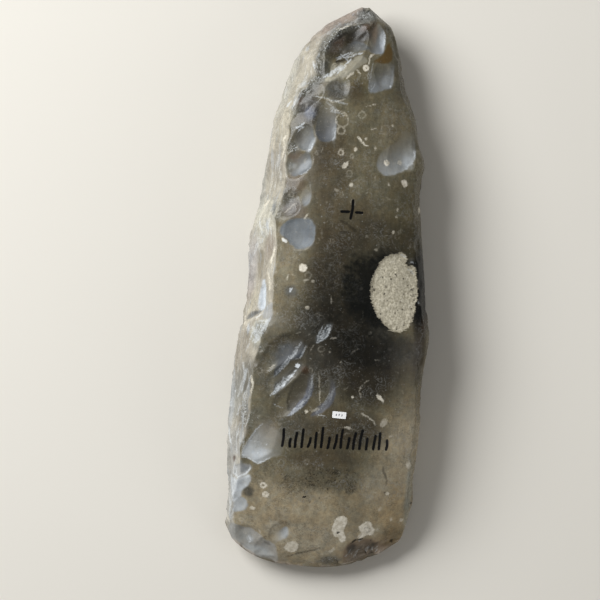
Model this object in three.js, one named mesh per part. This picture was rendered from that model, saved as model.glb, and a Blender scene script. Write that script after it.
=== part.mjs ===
// A knapped and partly polished flint axe head, lying on its lower broad face, with a small paper
// number label stuck to its upper face.
//
// Millimetres, +Z up. The long axis runs along Y, with the cutting edge at -Y and the butt at +Y.
// The origin is at the middle of the plan, on the surface that the axe lies on.
//
// The stone is a stack of closed sections. Each section has five faces: the steep left side, the broad
// upper face, the narrow right side, the broad lower face and the undercut left side below the outline.
// Every flake scar is then an ellipsoid bitten out of that smooth form.
import * as THREE from "three";

const { clamp, degToRad, lerp, smoothstep } = THREE.MathUtils;

// ---- Driving dimensions ----
const LENGTH = 200;
const EDGE_Y = -LENGTH / 2;
const BUTT_Y = LENGTH / 2;
const EDGE_HEIGHT = 7; // of the cutting edge over the surface that the axe lies on
const EDGE_THICKNESS = 0.8;

// The cutting edge bows forward, as a superellipse arc in the plan. Its right end is worn rounder.
const ARC_CENTRE_X = -1.5;
const ARC_HALF_WIDTH = 30.5;
const ARC_SAG = 10.5;
const ARC_POWER_LEFT = 3.3;
const ARC_POWER_RIGHT = 2.2;
const ARC_FADES_AT_Y = -58; // from here on the sections are straight across

// Insets of the section's corners from the outline, on the full thickness.
const RIGHT_SHOULDER_INSET = 1.9;
const LOWER_RIGHT_INSET = 4.6;
const LOWER_LEFT_INSET = 5.6;
const FULL_THICKNESS = 34;

// Heights of the section's corners, as shares of the thickness there.
const RIDGE_SHARE = 0.9;
const SHOULDER_SHARE = 0.7;
const RIGHT_OUTLINE_SHARE = 0.46;
const LEFT_OUTLINE_SHARE = 0.36;
const LOWER_RIGHT_SHARE = 0.13;
const LOWER_LEFT_SHARE = 0.11;
const CREST_AT = 0.38; // of the way from the left ridge to the right shoulder
const FLAT_SHARE = 0.42; // of the lower face's half width, on each side of its middle
const SIDE_BULGE = 0.03; // of the thickness

// The middle of the stone, towards which every flake scar eats.
const CORE_INSET = 16;
const CORE_EDGE_Y = -72;
const CORE_BUTT_Y = 78;

const STATIONS = 77;
const STATION_CROWDING = 0.35; // how much closer the stations stand towards the edge and the butt

const LABEL = { x: 5.05, y: -45, length: 4.9, width: 2.4, thickness: 0.2, gap: 0.05, turn: -1 };

// ---- Curves ----

// A curve through [at, value] pairs that never overshoots them: a monotone cubic.
function curveThrough(pairs) {
  const slopes = pairs.slice(1).map(([at, value], i) => (value - pairs[i][1]) / (at - pairs[i][0]));
  const tangents = pairs.map((_, i) => {
    const before = slopes[i - 1] ?? slopes[i];
    const after = slopes[i] ?? slopes[i - 1];
    return before * after <= 0 ? 0 : (2 * before * after) / (before + after);
  });
  return (at) => {
    const t = clamp(at, pairs[0][0], pairs[pairs.length - 1][0]);
    let i = 0;
    while (i < pairs.length - 2 && t > pairs[i + 1][0]) i++;
    const width = pairs[i + 1][0] - pairs[i][0];
    const u = (t - pairs[i][0]) / width;
    const v = 1 - u;
    return (
      pairs[i][1] * (1 + 2 * u) * v * v +
      pairs[i + 1][1] * (1 + 2 * v) * u * u +
      width * (tangents[i] * u * v * v - tangents[i + 1] * v * u * u)
    );
  };
}

// Plan curves, as [y, x] pairs.
const leftOutline = curveThrough([
  [-92, -29.6], [-88, -31.8], [-83.5, -34.3], [-75, -33.4], [-62, -33.8], [-48, -34.6], [-30, -33.8],
  [-14, -32.6], [0, -31.2], [12, -31.8], [26, -29.6], [45, -27.5], [55, -26.6], [70, -23.2],
  [80, -20.2], [87, -15.6], [92, -11.2], [96, -5], [BUTT_Y, 1.8],
]);
const rightOutline = curveThrough([
  [-90, 28.9], [-86, 30.9], [-78, 32.6], [-73, 33.7], [-66, 33.2], [-45, 33.8], [-30, 33.4], [-16, 34.6],
  [0, 32.1], [12, 30.4], [24, 28.7], [34, 27.9], [45, 28.3], [53, 25.6], [62, 23.8], [72, 20],
  [83, 16.8], [93, 13.2], [97, 8.5], [BUTT_Y, 4.8],
]);
// The ridge between the steep left side and the upper face.
const leftRidge = curveThrough([
  [-92, -28], [-78, -29.8], [-62, -30], [-50, -27], [-30, -26.3], [-18, -24.8], [-10, -21.6],
  [12, -22], [22, -23.2], [35, -20.2], [48, -21], [62, -19.2], [67, -18], [73, -12.6],
  [84, -12], [91, -7.5], [93.5, 0.5], [97, 5.5], [BUTT_Y, 3.8],
]);

// Side profiles, as [y, z] pairs.
const crest = curveThrough([
  [EDGE_Y, EDGE_HEIGHT + EDGE_THICKNESS / 2], [-96, 10.8], [-92, 13.6], [-86, 17], [-80, 19.8],
  [-70, 23.6], [-60, 26.6], [-45, 30], [-30, 32.3], [-10, 34], [10, 34.3], [30, 33.6], [50, 31.6],
  [70, 28.2], [85, 24.4], [95, 20.4], [BUTT_Y, 17],
]);
const keel = curveThrough([
  [EDGE_Y, EDGE_HEIGHT - EDGE_THICKNESS / 2], [-96, 5.3], [-90, 3.9], [-80, 2.3], [-65, 0.7],
  [-50, 0], [28, 0], [50, 0.9], [70, 2.8], [85, 5], [95, 7.2], [BUTT_Y, 9.5],
]);

// ---- Smooth form ----

const arcPower = (x) => (x < ARC_CENTRE_X ? ARC_POWER_LEFT : ARC_POWER_RIGHT);
const arcSag = (x) => ARC_SAG * (Math.abs(x - ARC_CENTRE_X) / ARC_HALF_WIDTH) ** arcPower(x);
const arcFade = (station) => 1 - smoothstep(station, EDGE_Y, ARC_FADES_AT_Y);

// The stations are bowed like the cutting edge near it: their y depends on x.
const planY = (station, x) => station + arcSag(x) * arcFade(station);

function stationAt(x, y) {
  let station = y;
  for (let i = 0; i < 20; i++) station = y - arcSag(x) * arcFade(station);
  return station;
}

// Where a plan curve meets a bowed station.
function crossing(planCurve, station) {
  let x = planCurve(station);
  for (let i = 0; i < 12; i++) x = planCurve(planY(station, x));
  return x;
}

// The corners and the crest of one section.
function sectionOf(station) {
  const top = crest(station);
  const bottom = keel(station);
  const thickness = top - bottom;
  const scale = clamp(thickness / FULL_THICKNESS, 0, 1);
  const height = (share) => bottom + share * thickness;
  const left = crossing(leftOutline, station);
  const right = crossing(rightOutline, station);
  const ridge = crossing(leftRidge, station);
  return {
    top,
    bottom,
    thickness,
    outlineLeft: [left, height(LEFT_OUTLINE_SHARE)],
    ridge: [ridge, height(RIDGE_SHARE)],
    shoulder: [Math.max(right - RIGHT_SHOULDER_INSET * scale, ridge + 0.4), height(SHOULDER_SHARE)],
    outlineRight: [right, height(RIGHT_OUTLINE_SHARE)],
    lowerRight: [right - LOWER_RIGHT_INSET * scale, height(LOWER_RIGHT_SHARE)],
    lowerLeft: [left + LOWER_LEFT_INSET * scale, height(LOWER_LEFT_SHARE)],
  };
}

const along = ([xa, za], [xb, zb], f, bulge = 0) => {
  const length = Math.hypot(xb - xa, zb - za) || 1;
  const out = bulge * Math.sin(Math.PI * f);
  return [lerp(xa, xb, f) - (out * (zb - za)) / length, lerp(za, zb, f) + (out * (xb - xa)) / length];
};

// The five faces in order round the section, each from its start (f = 0) to its end (f = 1). Steps are
// the points of each face in the mesh.
const FACES = {
  leftSide: {
    steps: 8,
    at: (s, f) => along(s.outlineLeft, s.ridge, f, SIDE_BULGE * s.thickness),
  },
  upper: {
    steps: 25,
    at: (s, f) => {
      const edge = f < CREST_AT ? s.ridge[1] : s.shoulder[1];
      const off = f < CREST_AT ? (CREST_AT - f) / CREST_AT : (f - CREST_AT) / (1 - CREST_AT);
      return [lerp(s.ridge[0], s.shoulder[0], f), s.top - (s.top - edge) * off * off];
    },
  },
  rightSide: {
    steps: 8,
    at: (s, f) =>
      f < 0.5
        ? along(s.shoulder, s.outlineRight, 2 * f, SIDE_BULGE * s.thickness)
        : along(s.outlineRight, s.lowerRight, 2 * f - 1, SIDE_BULGE * s.thickness),
  },
  lower: {
    steps: 18,
    at: (s, f) => {
      const edge = f < 0.5 ? s.lowerRight[1] : s.lowerLeft[1];
      const off = Math.max(0, (Math.abs(2 * f - 1) - FLAT_SHARE) / (1 - FLAT_SHARE));
      return [lerp(s.lowerRight[0], s.lowerLeft[0], f), s.bottom + (edge - s.bottom) * off * off];
    },
  },
  lowerLeft: {
    steps: 5,
    at: (s, f) => along(s.lowerLeft, s.outlineLeft, f, SIDE_BULGE * s.thickness),
  },
};

function formPoint(face, f, station, section = sectionOf(station)) {
  const [x, z] = FACES[face].at(section, f);
  return new THREE.Vector3(x, planY(station, x), z);
}

// The way from a surface point into the middle of the stone.
function inward(point, station, section) {
  const halfWidth = (section.outlineRight[0] - section.outlineLeft[0]) / 2;
  const inset = Math.min(CORE_INSET, 0.9 * halfWidth);
  const y = clamp(point.y, CORE_EDGE_Y, CORE_BUTT_Y);
  const core = new THREE.Vector3(
    clamp(point.x, section.outlineLeft[0] + inset, section.outlineRight[0] - inset),
    y,
    (crest(y) + keel(y)) / 2,
  );
  return core.sub(point).normalize();
}

// ---- Flake scars ----

// The upper face's own scars, by place in the plan and heading from +X. Long ones run from the side
// that they were struck from.
const UPPER_SCARS = [
  // the hollowed butt
  { x: -2.5, y: 85, heading: 62, length: 27, width: 15, depth: 3.4 },
  { x: 8.2, y: 88.5, heading: 86, length: 12, width: 7, depth: 0.9 },
  { x: 12, y: 75.5, heading: 100, length: 13, width: 8, depth: 0.7 },
  { x: -4, y: 70, heading: 20, length: 11, width: 9, depth: 0.9 },
  { x: -15, y: 67, heading: 60, length: 17, width: 10, depth: 1.2 },
  // along the left ridge, towards the butt
  { x: -8, y: 59, heading: 96, length: 17, width: 9, depth: 1.1 },
  { x: -15.5, y: 51.5, heading: 66, length: 12, width: 8.5, depth: 1.1 },
  { x: -16.5, y: 42.5, heading: 28, length: 12, width: 9.5, depth: 1.2 },
  { x: -13.5, y: 32, heading: 96, length: 9, width: 5, depth: 0.7 },
  { x: -18, y: 28, heading: 50, length: 13, width: 8, depth: 0.9 },
  { x: -14.3, y: 18.2, heading: 10, length: 13, width: 11.5, depth: 1.2 },
  // one from the right, below the butt
  { x: 21, y: 48, heading: 225, length: 19, width: 13, depth: 1.1 },
  // long ones across the middle, from the left ridge
  { x: -17, y: -24, heading: 48, length: 22, width: 10, depth: 1.5 },
  { x: -15.5, y: -32, heading: 48, length: 21, width: 8.5, depth: 1.4 },
  { x: -12, y: -39, heading: 52, length: 24, width: 10, depth: 1.5 },
  { x: -3, y: -40, heading: 66, length: 19, width: 9, depth: 0.9 },
  { x: -3, y: -15.5, heading: 58, length: 9, width: 4, depth: 0.6 },
  // the left edge, towards the cutting edge
  { x: -23.5, y: -57, heading: 60, length: 18, width: 12, depth: 1.3 },
  { x: -28, y: -66.5, heading: 40, length: 11, width: 8.5, depth: 1 },
  { x: -28.5, y: -75.5, heading: 80, length: 13, width: 7.5, depth: 0.7 },
  { x: -25, y: -90.5, heading: 40, length: 13, width: 9, depth: 0.8 },
  { x: -17.5, y: -95, heading: 70, length: 12, width: 9, depth: 0.6 },
  { x: -12.5, y: -87.5, heading: 60, length: 9, width: 6, depth: 0.6 },
  // the chipped right end of the cutting edge
  { x: 16.5, y: -92.5, heading: 20, length: 15, width: 8.5, depth: 1.1 },
  { x: 25, y: -90.5, heading: 30, length: 9, width: 6, depth: 0.7 },
  { x: 6, y: -98.3, heading: 8, length: 11, width: 4.5, depth: 0.9 },
];

// Rows of scars along the other faces: share is the place across the face, and every other scar sits
// stagger further across it.
const SCAR_ROWS = [
  { face: "leftSide", from: -80, to: 86, count: 10, share: 0.3, stagger: 0.42, heading: 78,
    length: 26, width: 14, depth: 1.8, seed: 3 },
  { face: "rightSide", from: -74, to: 84, count: 10, share: 0.24, stagger: 0.5, heading: 84,
    length: 20, width: 12, depth: 1.4, seed: 11 },
  { face: "lower", from: -74, to: 80, count: 9, share: 0.05, stagger: 0.06, heading: 20,
    length: 24, width: 21, depth: 1.9, seed: 23 },
  { face: "lower", from: -74, to: 84, count: 9, share: 0.95, stagger: -0.06, heading: 160,
    length: 24, width: 20, depth: 1.9, seed: 31 },
  { face: "lowerLeft", from: -68, to: 74, count: 7, share: 0.55, stagger: 0.2, heading: 80,
    length: 20, width: 11, depth: 1.1, seed: 47 },
];
const ROW_TURN = 24; // degrees between the two furthest headings in a row
const ROW_SIZE_SPREAD = 0.4; // of a scar's own size

// An ellipsoid that bites depth deep: its height is this many times the depth.
const BITE_HEIGHT = 5;
const BITE_REACH = Math.sqrt(1 - (1 - 1 / BITE_HEIGHT) ** 2);

// The same uneven numbers on every run, from -0.5 to 0.5.
function uneven(seed) {
  const n = Math.sin(seed * 12.9898) * 43758.5453;
  return n - Math.floor(n) - 0.5;
}

// The ellipsoid of one scar, with its centre outside the stone over the place it was struck off.
function bite({ face, f, station, heading, length, width, depth }) {
  const step = 0.5;
  const g = clamp(f, 0.02, 0.98);
  const place = formPoint(face, f, station);
  const upAlong = formPoint(face, g, station + step).sub(formPoint(face, g, station - step)).normalize();
  const across = formPoint(face, g + 0.01, station).sub(formPoint(face, g - 0.01, station)).normalize();
  const out = new THREE.Vector3().crossVectors(across, upAlong).normalize();
  const turn = degToRad(heading);
  const ahead = across.multiplyScalar(Math.cos(turn)).addScaledVector(upAlong, Math.sin(turn));
  ahead.addScaledVector(out, -ahead.dot(out)).normalize();
  const height = depth * BITE_HEIGHT;
  return {
    centre: place.addScaledVector(out, height - depth),
    axes: [ahead, new THREE.Vector3().crossVectors(out, ahead), out],
    halves: [length / 2 / BITE_REACH, width / 2 / BITE_REACH, height],
  };
}

function upperBite({ x, y, ...scar }) {
  const station = stationAt(x, y);
  const { ridge, shoulder } = sectionOf(station);
  const f = clamp((x - ridge[0]) / (shoulder[0] - ridge[0]), 0, 1);
  return bite({ face: "upper", f, station, ...scar });
}

function rowBites({ face, from, to, count, share, stagger, heading, length, width, depth, seed }) {
  return Array.from({ length: count }, (_, i) => {
    const size = 1 + ROW_SIZE_SPREAD * uneven(seed + 3 * i);
    return bite({
      face,
      f: share + (i % 2) * stagger,
      station: lerp(from, to, (i + 0.4 * uneven(seed + 3 * i + 1)) / (count - 1)),
      heading: heading + ROW_TURN * uneven(seed + 3 * i + 2),
      length: length * size,
      width: width * size,
      depth: depth * size,
    });
  });
}

const BITES = [...UPPER_SCARS.map(upperBite), ...SCAR_ROWS.flatMap(rowBites)];

// How far a point has to go along a direction to leave an ellipsoid, or 0 outside it.
function wayOut({ centre, axes, halves }, point, direction) {
  const from = point.clone().sub(centre);
  let a = 0;
  let b = 0;
  let c = -1;
  axes.forEach((axis, i) => {
    const p = from.dot(axis) / halves[i];
    const d = direction.dot(axis) / halves[i];
    a += d * d;
    b += p * d;
    c += p * p;
  });
  return c < 0 ? (-b + Math.sqrt(b * b - a * c)) / a : 0;
}

// The stone's surface: the smooth form, moved inwards past every scar over it.
const BITE_ROUNDS = 3; // a scar can lead a point into the next one
function knapped(point, station, section) {
  const direction = inward(point, station, section);
  for (let round = 0; round < BITE_ROUNDS; round++) {
    const way = Math.max(...BITES.map((scar) => wayOut(scar, point, direction)));
    point.addScaledVector(direction, way);
  }
  return point;
}

// ---- Mesh ----

// Rows of one closed loop each, from the cutting edge to the butt, closed by a strip at each end.
function stoneGeometry() {
  const rows = [];
  for (let i = 0; i < STATIONS; i++) {
    const t = i / (STATIONS - 1);
    const eased = t - (STATION_CROWDING * Math.sin(2 * Math.PI * t)) / (2 * Math.PI);
    const station = lerp(EDGE_Y, BUTT_Y, eased);
    const section = sectionOf(station);
    rows.push(
      Object.entries(FACES).flatMap(([face, { steps }]) =>
        Array.from({ length: steps }, (_, k) =>
          knapped(formPoint(face, k / steps, station, section), station, section),
        ),
      ),
    );
  }
  const around = rows[0].length;
  const index = (row, k) => row * around + (k % around);
  const triangles = [];
  for (let row = 0; row + 1 < rows.length; row++)
    for (let k = 0; k < around; k++) {
      const [a, b] = [index(row, k), index(row, k + 1)];
      const [c, d] = [index(row + 1, k), index(row + 1, k + 1)];
      triangles.push(a, b, c, b, d, c);
    }
  // The turning point of a loop is on the right outline; the two chains from the left to it are zipped.
  const turning = FACES.leftSide.steps + FACES.upper.steps + FACES.rightSide.steps / 2;
  triangles.push(...zipped(0, around, turning, false));
  triangles.push(...zipped((rows.length - 1) * around, around, turning, true));
  return new THREE.BufferGeometry()
    .setAttribute("position", new THREE.Float32BufferAttribute(rows.flat().flatMap((p) => p.toArray()), 3))
    .setIndex(triangles);
}

// A strip of triangles between the upper and the lower chain of one loop.
function zipped(first, around, turning, isButt) {
  const lowerCount = around - turning;
  const triangles = [];
  let up = 0;
  let down = 0;
  const upper = (k) => first + k;
  const lower = (k) => first + ((around - k) % around);
  while (up < turning || down < lowerCount) {
    const upNext = up < turning && (down >= lowerCount || (up + 1) / turning <= (down + 1) / lowerCount);
    const [a, b] = [upper(up), lower(down)];
    const c = upNext ? upper(++up) : lower(++down);
    const used = new Set([a, b, c]);
    if (used.size === 3) triangles.push(...(isButt ? [a, c, b] : [a, b, c]));
  }
  return triangles;
}

function stone() {
  const material = new THREE.MeshStandardMaterial({ color: 0x6b6453, roughness: 0.32, metalness: 0 });
  const mesh = new THREE.Mesh(stoneGeometry(), material);
  mesh.name = "flint_axe_head";
  return mesh;
}

// The number label lies on the upper face, square to it.
function paperLabel() {
  const material = new THREE.MeshStandardMaterial({ color: 0xf2f1ee, roughness: 0.8, metalness: 0 });
  const mesh = new THREE.Mesh(new THREE.BoxGeometry(LABEL.length, LABEL.width, LABEL.thickness), material);
  mesh.name = "paper_number_label";
  const station = stationAt(LABEL.x, LABEL.y);
  const { ridge, shoulder } = sectionOf(station);
  const f = (LABEL.x - ridge[0]) / (shoulder[0] - ridge[0]);
  const place = formPoint("upper", f, station);
  const alongY = formPoint("upper", f, station + 1).sub(formPoint("upper", f, station - 1)).normalize();
  const acrossX = formPoint("upper", f + 0.01, station).sub(place).normalize();
  const out = new THREE.Vector3().crossVectors(acrossX, alongY).normalize();
  const upright = new THREE.Vector3().crossVectors(out, acrossX);
  mesh.quaternion.setFromRotationMatrix(new THREE.Matrix4().makeBasis(acrossX, upright, out));
  mesh.rotateZ(degToRad(LABEL.turn));
  mesh.position.copy(place.addScaledVector(out, LABEL.gap + LABEL.thickness / 2));
  return mesh;
}

const axe = new THREE.Group();
axe.add(stone(), paperLabel());

export default axe;
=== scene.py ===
"""The looks of a knapped and partly polished flint axe head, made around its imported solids.

The stone is built again as one fine mesh of the solid's own form and flake scars. It adds slighter scars
on the left side, ripples, nicks, a pitted chalk patch and the colours. Shapes are worked out in
millimetres, in the solid's frame: X across the axe, +Y towards the butt and +Z up. Blender gets them in
metres.
"""
import itertools
import math

import bpy
import numpy as np
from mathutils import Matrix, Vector


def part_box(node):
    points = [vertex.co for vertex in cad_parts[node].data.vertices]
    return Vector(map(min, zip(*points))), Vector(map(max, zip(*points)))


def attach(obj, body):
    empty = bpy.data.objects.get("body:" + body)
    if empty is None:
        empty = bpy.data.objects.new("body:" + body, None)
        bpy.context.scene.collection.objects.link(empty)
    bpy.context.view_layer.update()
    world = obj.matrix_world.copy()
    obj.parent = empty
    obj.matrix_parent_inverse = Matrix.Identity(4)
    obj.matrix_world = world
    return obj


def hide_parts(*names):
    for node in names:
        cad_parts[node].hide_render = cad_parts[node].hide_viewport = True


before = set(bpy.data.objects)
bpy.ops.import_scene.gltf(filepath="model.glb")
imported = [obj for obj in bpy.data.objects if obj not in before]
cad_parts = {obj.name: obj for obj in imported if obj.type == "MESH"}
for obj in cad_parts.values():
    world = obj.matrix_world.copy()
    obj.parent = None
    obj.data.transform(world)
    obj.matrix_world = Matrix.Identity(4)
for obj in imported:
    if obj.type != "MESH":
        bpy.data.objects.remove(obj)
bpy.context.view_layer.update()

MM = 0.001
STONE = "flint_axe_head"
LABEL = "paper_number_label"

# ---- The solid's form: the same named values as its source ----

LENGTH = 200
EDGE_Y, BUTT_Y = -LENGTH / 2, LENGTH / 2
EDGE_HEIGHT = 7
EDGE_THICKNESS = 0.8
ARC_CENTRE_X, ARC_HALF_WIDTH, ARC_SAG = -1.5, 30.5, 10.5
ARC_POWER_LEFT, ARC_POWER_RIGHT = 3.3, 2.2
ARC_FADES_AT_Y = -58
RIGHT_SHOULDER_INSET, LOWER_RIGHT_INSET, LOWER_LEFT_INSET = 1.9, 4.6, 5.6
FULL_THICKNESS = 34
RIDGE_SHARE, SHOULDER_SHARE = 0.9, 0.7
LEFT_OUTLINE_SHARE, RIGHT_OUTLINE_SHARE = 0.36, 0.46
LOWER_LEFT_SHARE, LOWER_RIGHT_SHARE = 0.11, 0.13
CREST_AT = 0.38
FLAT_SHARE = 0.42
SIDE_BULGE = 0.03
CORE_INSET = 16
CORE_EDGE_Y, CORE_BUTT_Y = -72, 78
LABEL_X, LABEL_Y, LABEL_TURN = 5.05, -45, -1
LABEL_LENGTH, LABEL_WIDTH, LABEL_THICKNESS, LABEL_GAP = 4.9, 2.4, 0.2, 0.05

LEFT_OUTLINE = [
    (-92, -29.6), (-88, -31.8), (-83.5, -34.3), (-75, -33.4), (-62, -33.8), (-48, -34.6), (-30, -33.8),
    (-14, -32.6), (0, -31.2), (12, -31.8), (26, -29.6), (45, -27.5), (55, -26.6), (70, -23.2),
    (80, -20.2), (87, -15.6), (92, -11.2), (96, -5), (BUTT_Y, 1.8),
]
RIGHT_OUTLINE = [
    (-90, 28.9), (-86, 30.9), (-78, 32.6), (-73, 33.7), (-66, 33.2), (-45, 33.8), (-30, 33.4), (-16, 34.6),
    (0, 32.1), (12, 30.4), (24, 28.7), (34, 27.9), (45, 28.3), (53, 25.6), (62, 23.8), (72, 20),
    (83, 16.8), (93, 13.2), (97, 8.5), (BUTT_Y, 4.8),
]
LEFT_RIDGE = [
    (-92, -28), (-78, -29.8), (-62, -30), (-50, -27), (-30, -26.3), (-18, -24.8), (-10, -21.6),
    (12, -22), (22, -23.2), (35, -20.2), (48, -21), (62, -19.2), (67, -18), (73, -12.6),
    (84, -12), (91, -7.5), (93.5, 0.5), (97, 5.5), (BUTT_Y, 3.8),
]
CREST = [
    (EDGE_Y, EDGE_HEIGHT + EDGE_THICKNESS / 2), (-96, 10.8), (-92, 13.6), (-86, 17), (-80, 19.8),
    (-70, 23.6), (-60, 26.6), (-45, 30), (-30, 32.3), (-10, 34), (10, 34.3), (30, 33.6), (50, 31.6),
    (70, 28.2), (85, 24.4), (95, 20.4), (BUTT_Y, 17),
]
KEEL = [
    (EDGE_Y, EDGE_HEIGHT - EDGE_THICKNESS / 2), (-96, 5.3), (-90, 3.9), (-80, 2.3), (-65, 0.7),
    (-50, 0), (28, 0), (50, 0.9), (70, 2.8), (85, 5), (95, 7.2), (BUTT_Y, 9.5),
]

# The upper face's flake scars: x, y, heading, length, width and depth.
UPPER_SCARS = [
    (-2.5, 85, 62, 27, 15, 3.4),
    (8.2, 88.5, 86, 12, 7, 0.9),
    (12, 75.5, 100, 13, 8, 0.7),
    (-4, 70, 20, 11, 9, 0.9),
    (-15, 67, 60, 17, 10, 1.2),
    (-8, 59, 96, 17, 9, 1.1),
    (-15.5, 51.5, 66, 12, 8.5, 1.1),
    (-16.5, 42.5, 28, 12, 9.5, 1.2),
    (-13.5, 32, 96, 9, 5, 0.7),
    (-18, 28, 50, 13, 8, 0.9),
    (-14.3, 18.2, 10, 13, 11.5, 1.2),
    (21, 48, 225, 19, 13, 1.1),
    (-17, -24, 48, 22, 10, 1.5),
    (-15.5, -32, 48, 21, 8.5, 1.4),
    (-12, -39, 52, 24, 10, 1.5),
    (-3, -40, 66, 19, 9, 0.9),
    (-3, -15.5, 58, 9, 4, 0.6),
    (-23.5, -57, 60, 18, 12, 1.3),
    (-28, -66.5, 40, 11, 8.5, 1),
    (-28.5, -75.5, 80, 13, 7.5, 0.7),
    (-25, -90.5, 40, 13, 9, 0.8),
    (-17.5, -95, 70, 12, 9, 0.6),
    (-12.5, -87.5, 60, 9, 6, 0.6),
    (16.5, -92.5, 20, 15, 8.5, 1.1),
    (25, -90.5, 30, 9, 6, 0.7),
    (6, -98.3, 8, 11, 4.5, 0.9),
]
# Rows of scars on the other faces: face, from, to, count, share, stagger, heading, length, width, depth
# and seed.
SCAR_ROWS = [
    ("left_side", -80, 86, 10, 0.3, 0.42, 78, 26, 14, 1.8, 3),
    ("right_side", -74, 84, 10, 0.24, 0.5, 84, 20, 12, 1.4, 11),
    ("lower", -74, 80, 9, 0.05, 0.06, 20, 24, 21, 1.9, 23),
    ("lower", -74, 84, 9, 0.95, -0.06, 160, 24, 20, 1.9, 31),
    ("lower_left", -68, 74, 7, 0.55, 0.2, 80, 20, 11, 1.1, 47),
]
ROW_TURN = 24
ROW_SIZE_SPREAD = 0.4
BITE_HEIGHT = 5
BITE_REACH = math.sqrt(1 - (1 - 1 / BITE_HEIGHT) ** 2)
BITE_ROUNDS = 3

# ---- The fine mesh ----

STATIONS = 415
STATION_CROWDING = 0.2
STEPS = {"left_side": 30, "upper": 140, "right_side": 26, "lower": 34, "lower_left": 8}
FACE_NAMES = list(STEPS)


def curve_through(pairs):
    """A curve through (at, value) pairs that never overshoots them: a monotone cubic."""
    at, value = np.array(pairs, float).T
    width = np.diff(at)
    slope = np.diff(value) / width
    before, after = np.append(slope[0], slope), np.append(slope, slope[-1])
    same_way = before * after > 0
    tangent = np.where(same_way, 2 * before * after / np.where(same_way, before + after, 1), 0)

    def curve(t):
        t = np.clip(t, at[0], at[-1])
        i = np.clip(np.searchsorted(at, t, side="right") - 1, 0, len(at) - 2)
        u = (t - at[i]) / width[i]
        v = 1 - u
        return (
            value[i] * (1 + 2 * u) * v * v
            + value[i + 1] * (1 + 2 * v) * u * u
            + width[i] * (tangent[i] * u * v * v - tangent[i + 1] * v * u * u)
        )

    return curve


left_outline, right_outline, left_ridge = map(curve_through, (LEFT_OUTLINE, RIGHT_OUTLINE, LEFT_RIDGE))
crest, keel = curve_through(CREST), curve_through(KEEL)


def ease(value, low, high):
    """0 below low and 1 above high, with a smooth way between."""
    t = np.clip((value - low) / (high - low), 0, 1)
    return t * t * (3 - 2 * t)


def arc_sag(x):
    """How far the bowed cutting edge falls back towards the butt at x."""
    power = np.where(x < ARC_CENTRE_X, ARC_POWER_LEFT, ARC_POWER_RIGHT)
    return ARC_SAG * (np.abs(x - ARC_CENTRE_X) / ARC_HALF_WIDTH) ** power


def arc_fade(station):
    """1 at the cutting edge, easing to 0 where the stations run straight across."""
    return 1 - ease(station, EDGE_Y, ARC_FADES_AT_Y)


def plan_y(station, x):
    """The Y of a bowed station at x."""
    return station + arc_sag(x) * arc_fade(station)


def station_at(x, y):
    """The station that passes through a place in the plan."""
    station = y
    for _ in range(20):
        station = y - arc_sag(x) * arc_fade(station)
    return station


def crossing(plan_curve, station):
    """Where a plan curve meets a bowed station."""
    x = plan_curve(station)
    for _ in range(12):
        x = plan_curve(plan_y(station, x))
    return x


def section_of(station):
    """The corners and the crest of the sections at these stations, as (x, z) pairs of arrays."""
    top, bottom = crest(station), keel(station)
    thickness = top - bottom
    scale = np.clip(thickness / FULL_THICKNESS, 0, 1)
    left = crossing(left_outline, station)
    right = crossing(right_outline, station)
    ridge = crossing(left_ridge, station)

    def height(share):
        return bottom + share * thickness

    shoulder = np.maximum(right - RIGHT_SHOULDER_INSET * scale, ridge + 0.4)
    return {
        "top": top,
        "bottom": bottom,
        "bulge": SIDE_BULGE * thickness,
        "outline_left": (left, height(LEFT_OUTLINE_SHARE)),
        "ridge": (ridge, height(RIDGE_SHARE)),
        "shoulder": (shoulder, height(SHOULDER_SHARE)),
        "outline_right": (right, height(RIGHT_OUTLINE_SHARE)),
        "lower_right": (right - LOWER_RIGHT_INSET * scale, height(LOWER_RIGHT_SHARE)),
        "lower_left": (left + LOWER_LEFT_INSET * scale, height(LOWER_LEFT_SHARE)),
    }


def along(start, end, f, bulge):
    """A line between two corners of the section, bulging outwards."""
    (xa, za), (xb, zb) = start, end
    length = np.hypot(xb - xa, zb - za) + 1e-9
    out = bulge * np.sin(np.pi * f)
    x = xa + (xb - xa) * f - out * (zb - za) / length
    return x, za + (zb - za) * f + out * (xb - xa) / length


def left_side(s, f):
    return along(s["outline_left"], s["ridge"], f, s["bulge"])


def upper(s, f):
    """The upper face, which falls away from the crest on both sides."""
    (xa, za), (xb, zb) = s["ridge"], s["shoulder"]
    off = np.where(f < CREST_AT, (CREST_AT - f) / CREST_AT, (f - CREST_AT) / (1 - CREST_AT))
    return xa + (xb - xa) * f, s["top"] - (s["top"] - np.where(f < CREST_AT, za, zb)) * off**2


def right_side(s, f):
    above = along(s["shoulder"], s["outline_right"], 2 * f, s["bulge"])
    below = along(s["outline_right"], s["lower_right"], 2 * f - 1, s["bulge"])
    return [np.where(f < 0.5, a, b) for a, b in zip(above, below)]


def lower(s, f):
    """The lower face, flat in its middle and rising to both borders."""
    (xa, za), (xb, zb) = s["lower_right"], s["lower_left"]
    off = np.maximum(0, (np.abs(2 * f - 1) - FLAT_SHARE) / (1 - FLAT_SHARE))
    return xa + (xb - xa) * f, s["bottom"] + (np.where(f < 0.5, za, zb) - s["bottom"]) * off**2


def lower_left(s, f):
    return along(s["lower_left"], s["outline_left"], f, s["bulge"])


FACES = {
    "left_side": left_side, "upper": upper, "right_side": right_side, "lower": lower,
    "lower_left": lower_left,
}


def form_point(face, f, station):
    """A point of the smooth form."""
    x, z = FACES[face](section_of(station), f)
    return np.array([x, plan_y(station, x), z], float)


def unit(vector):
    """The same direction, one long."""
    return vector / np.linalg.norm(vector, axis=-1, keepdims=True)


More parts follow.
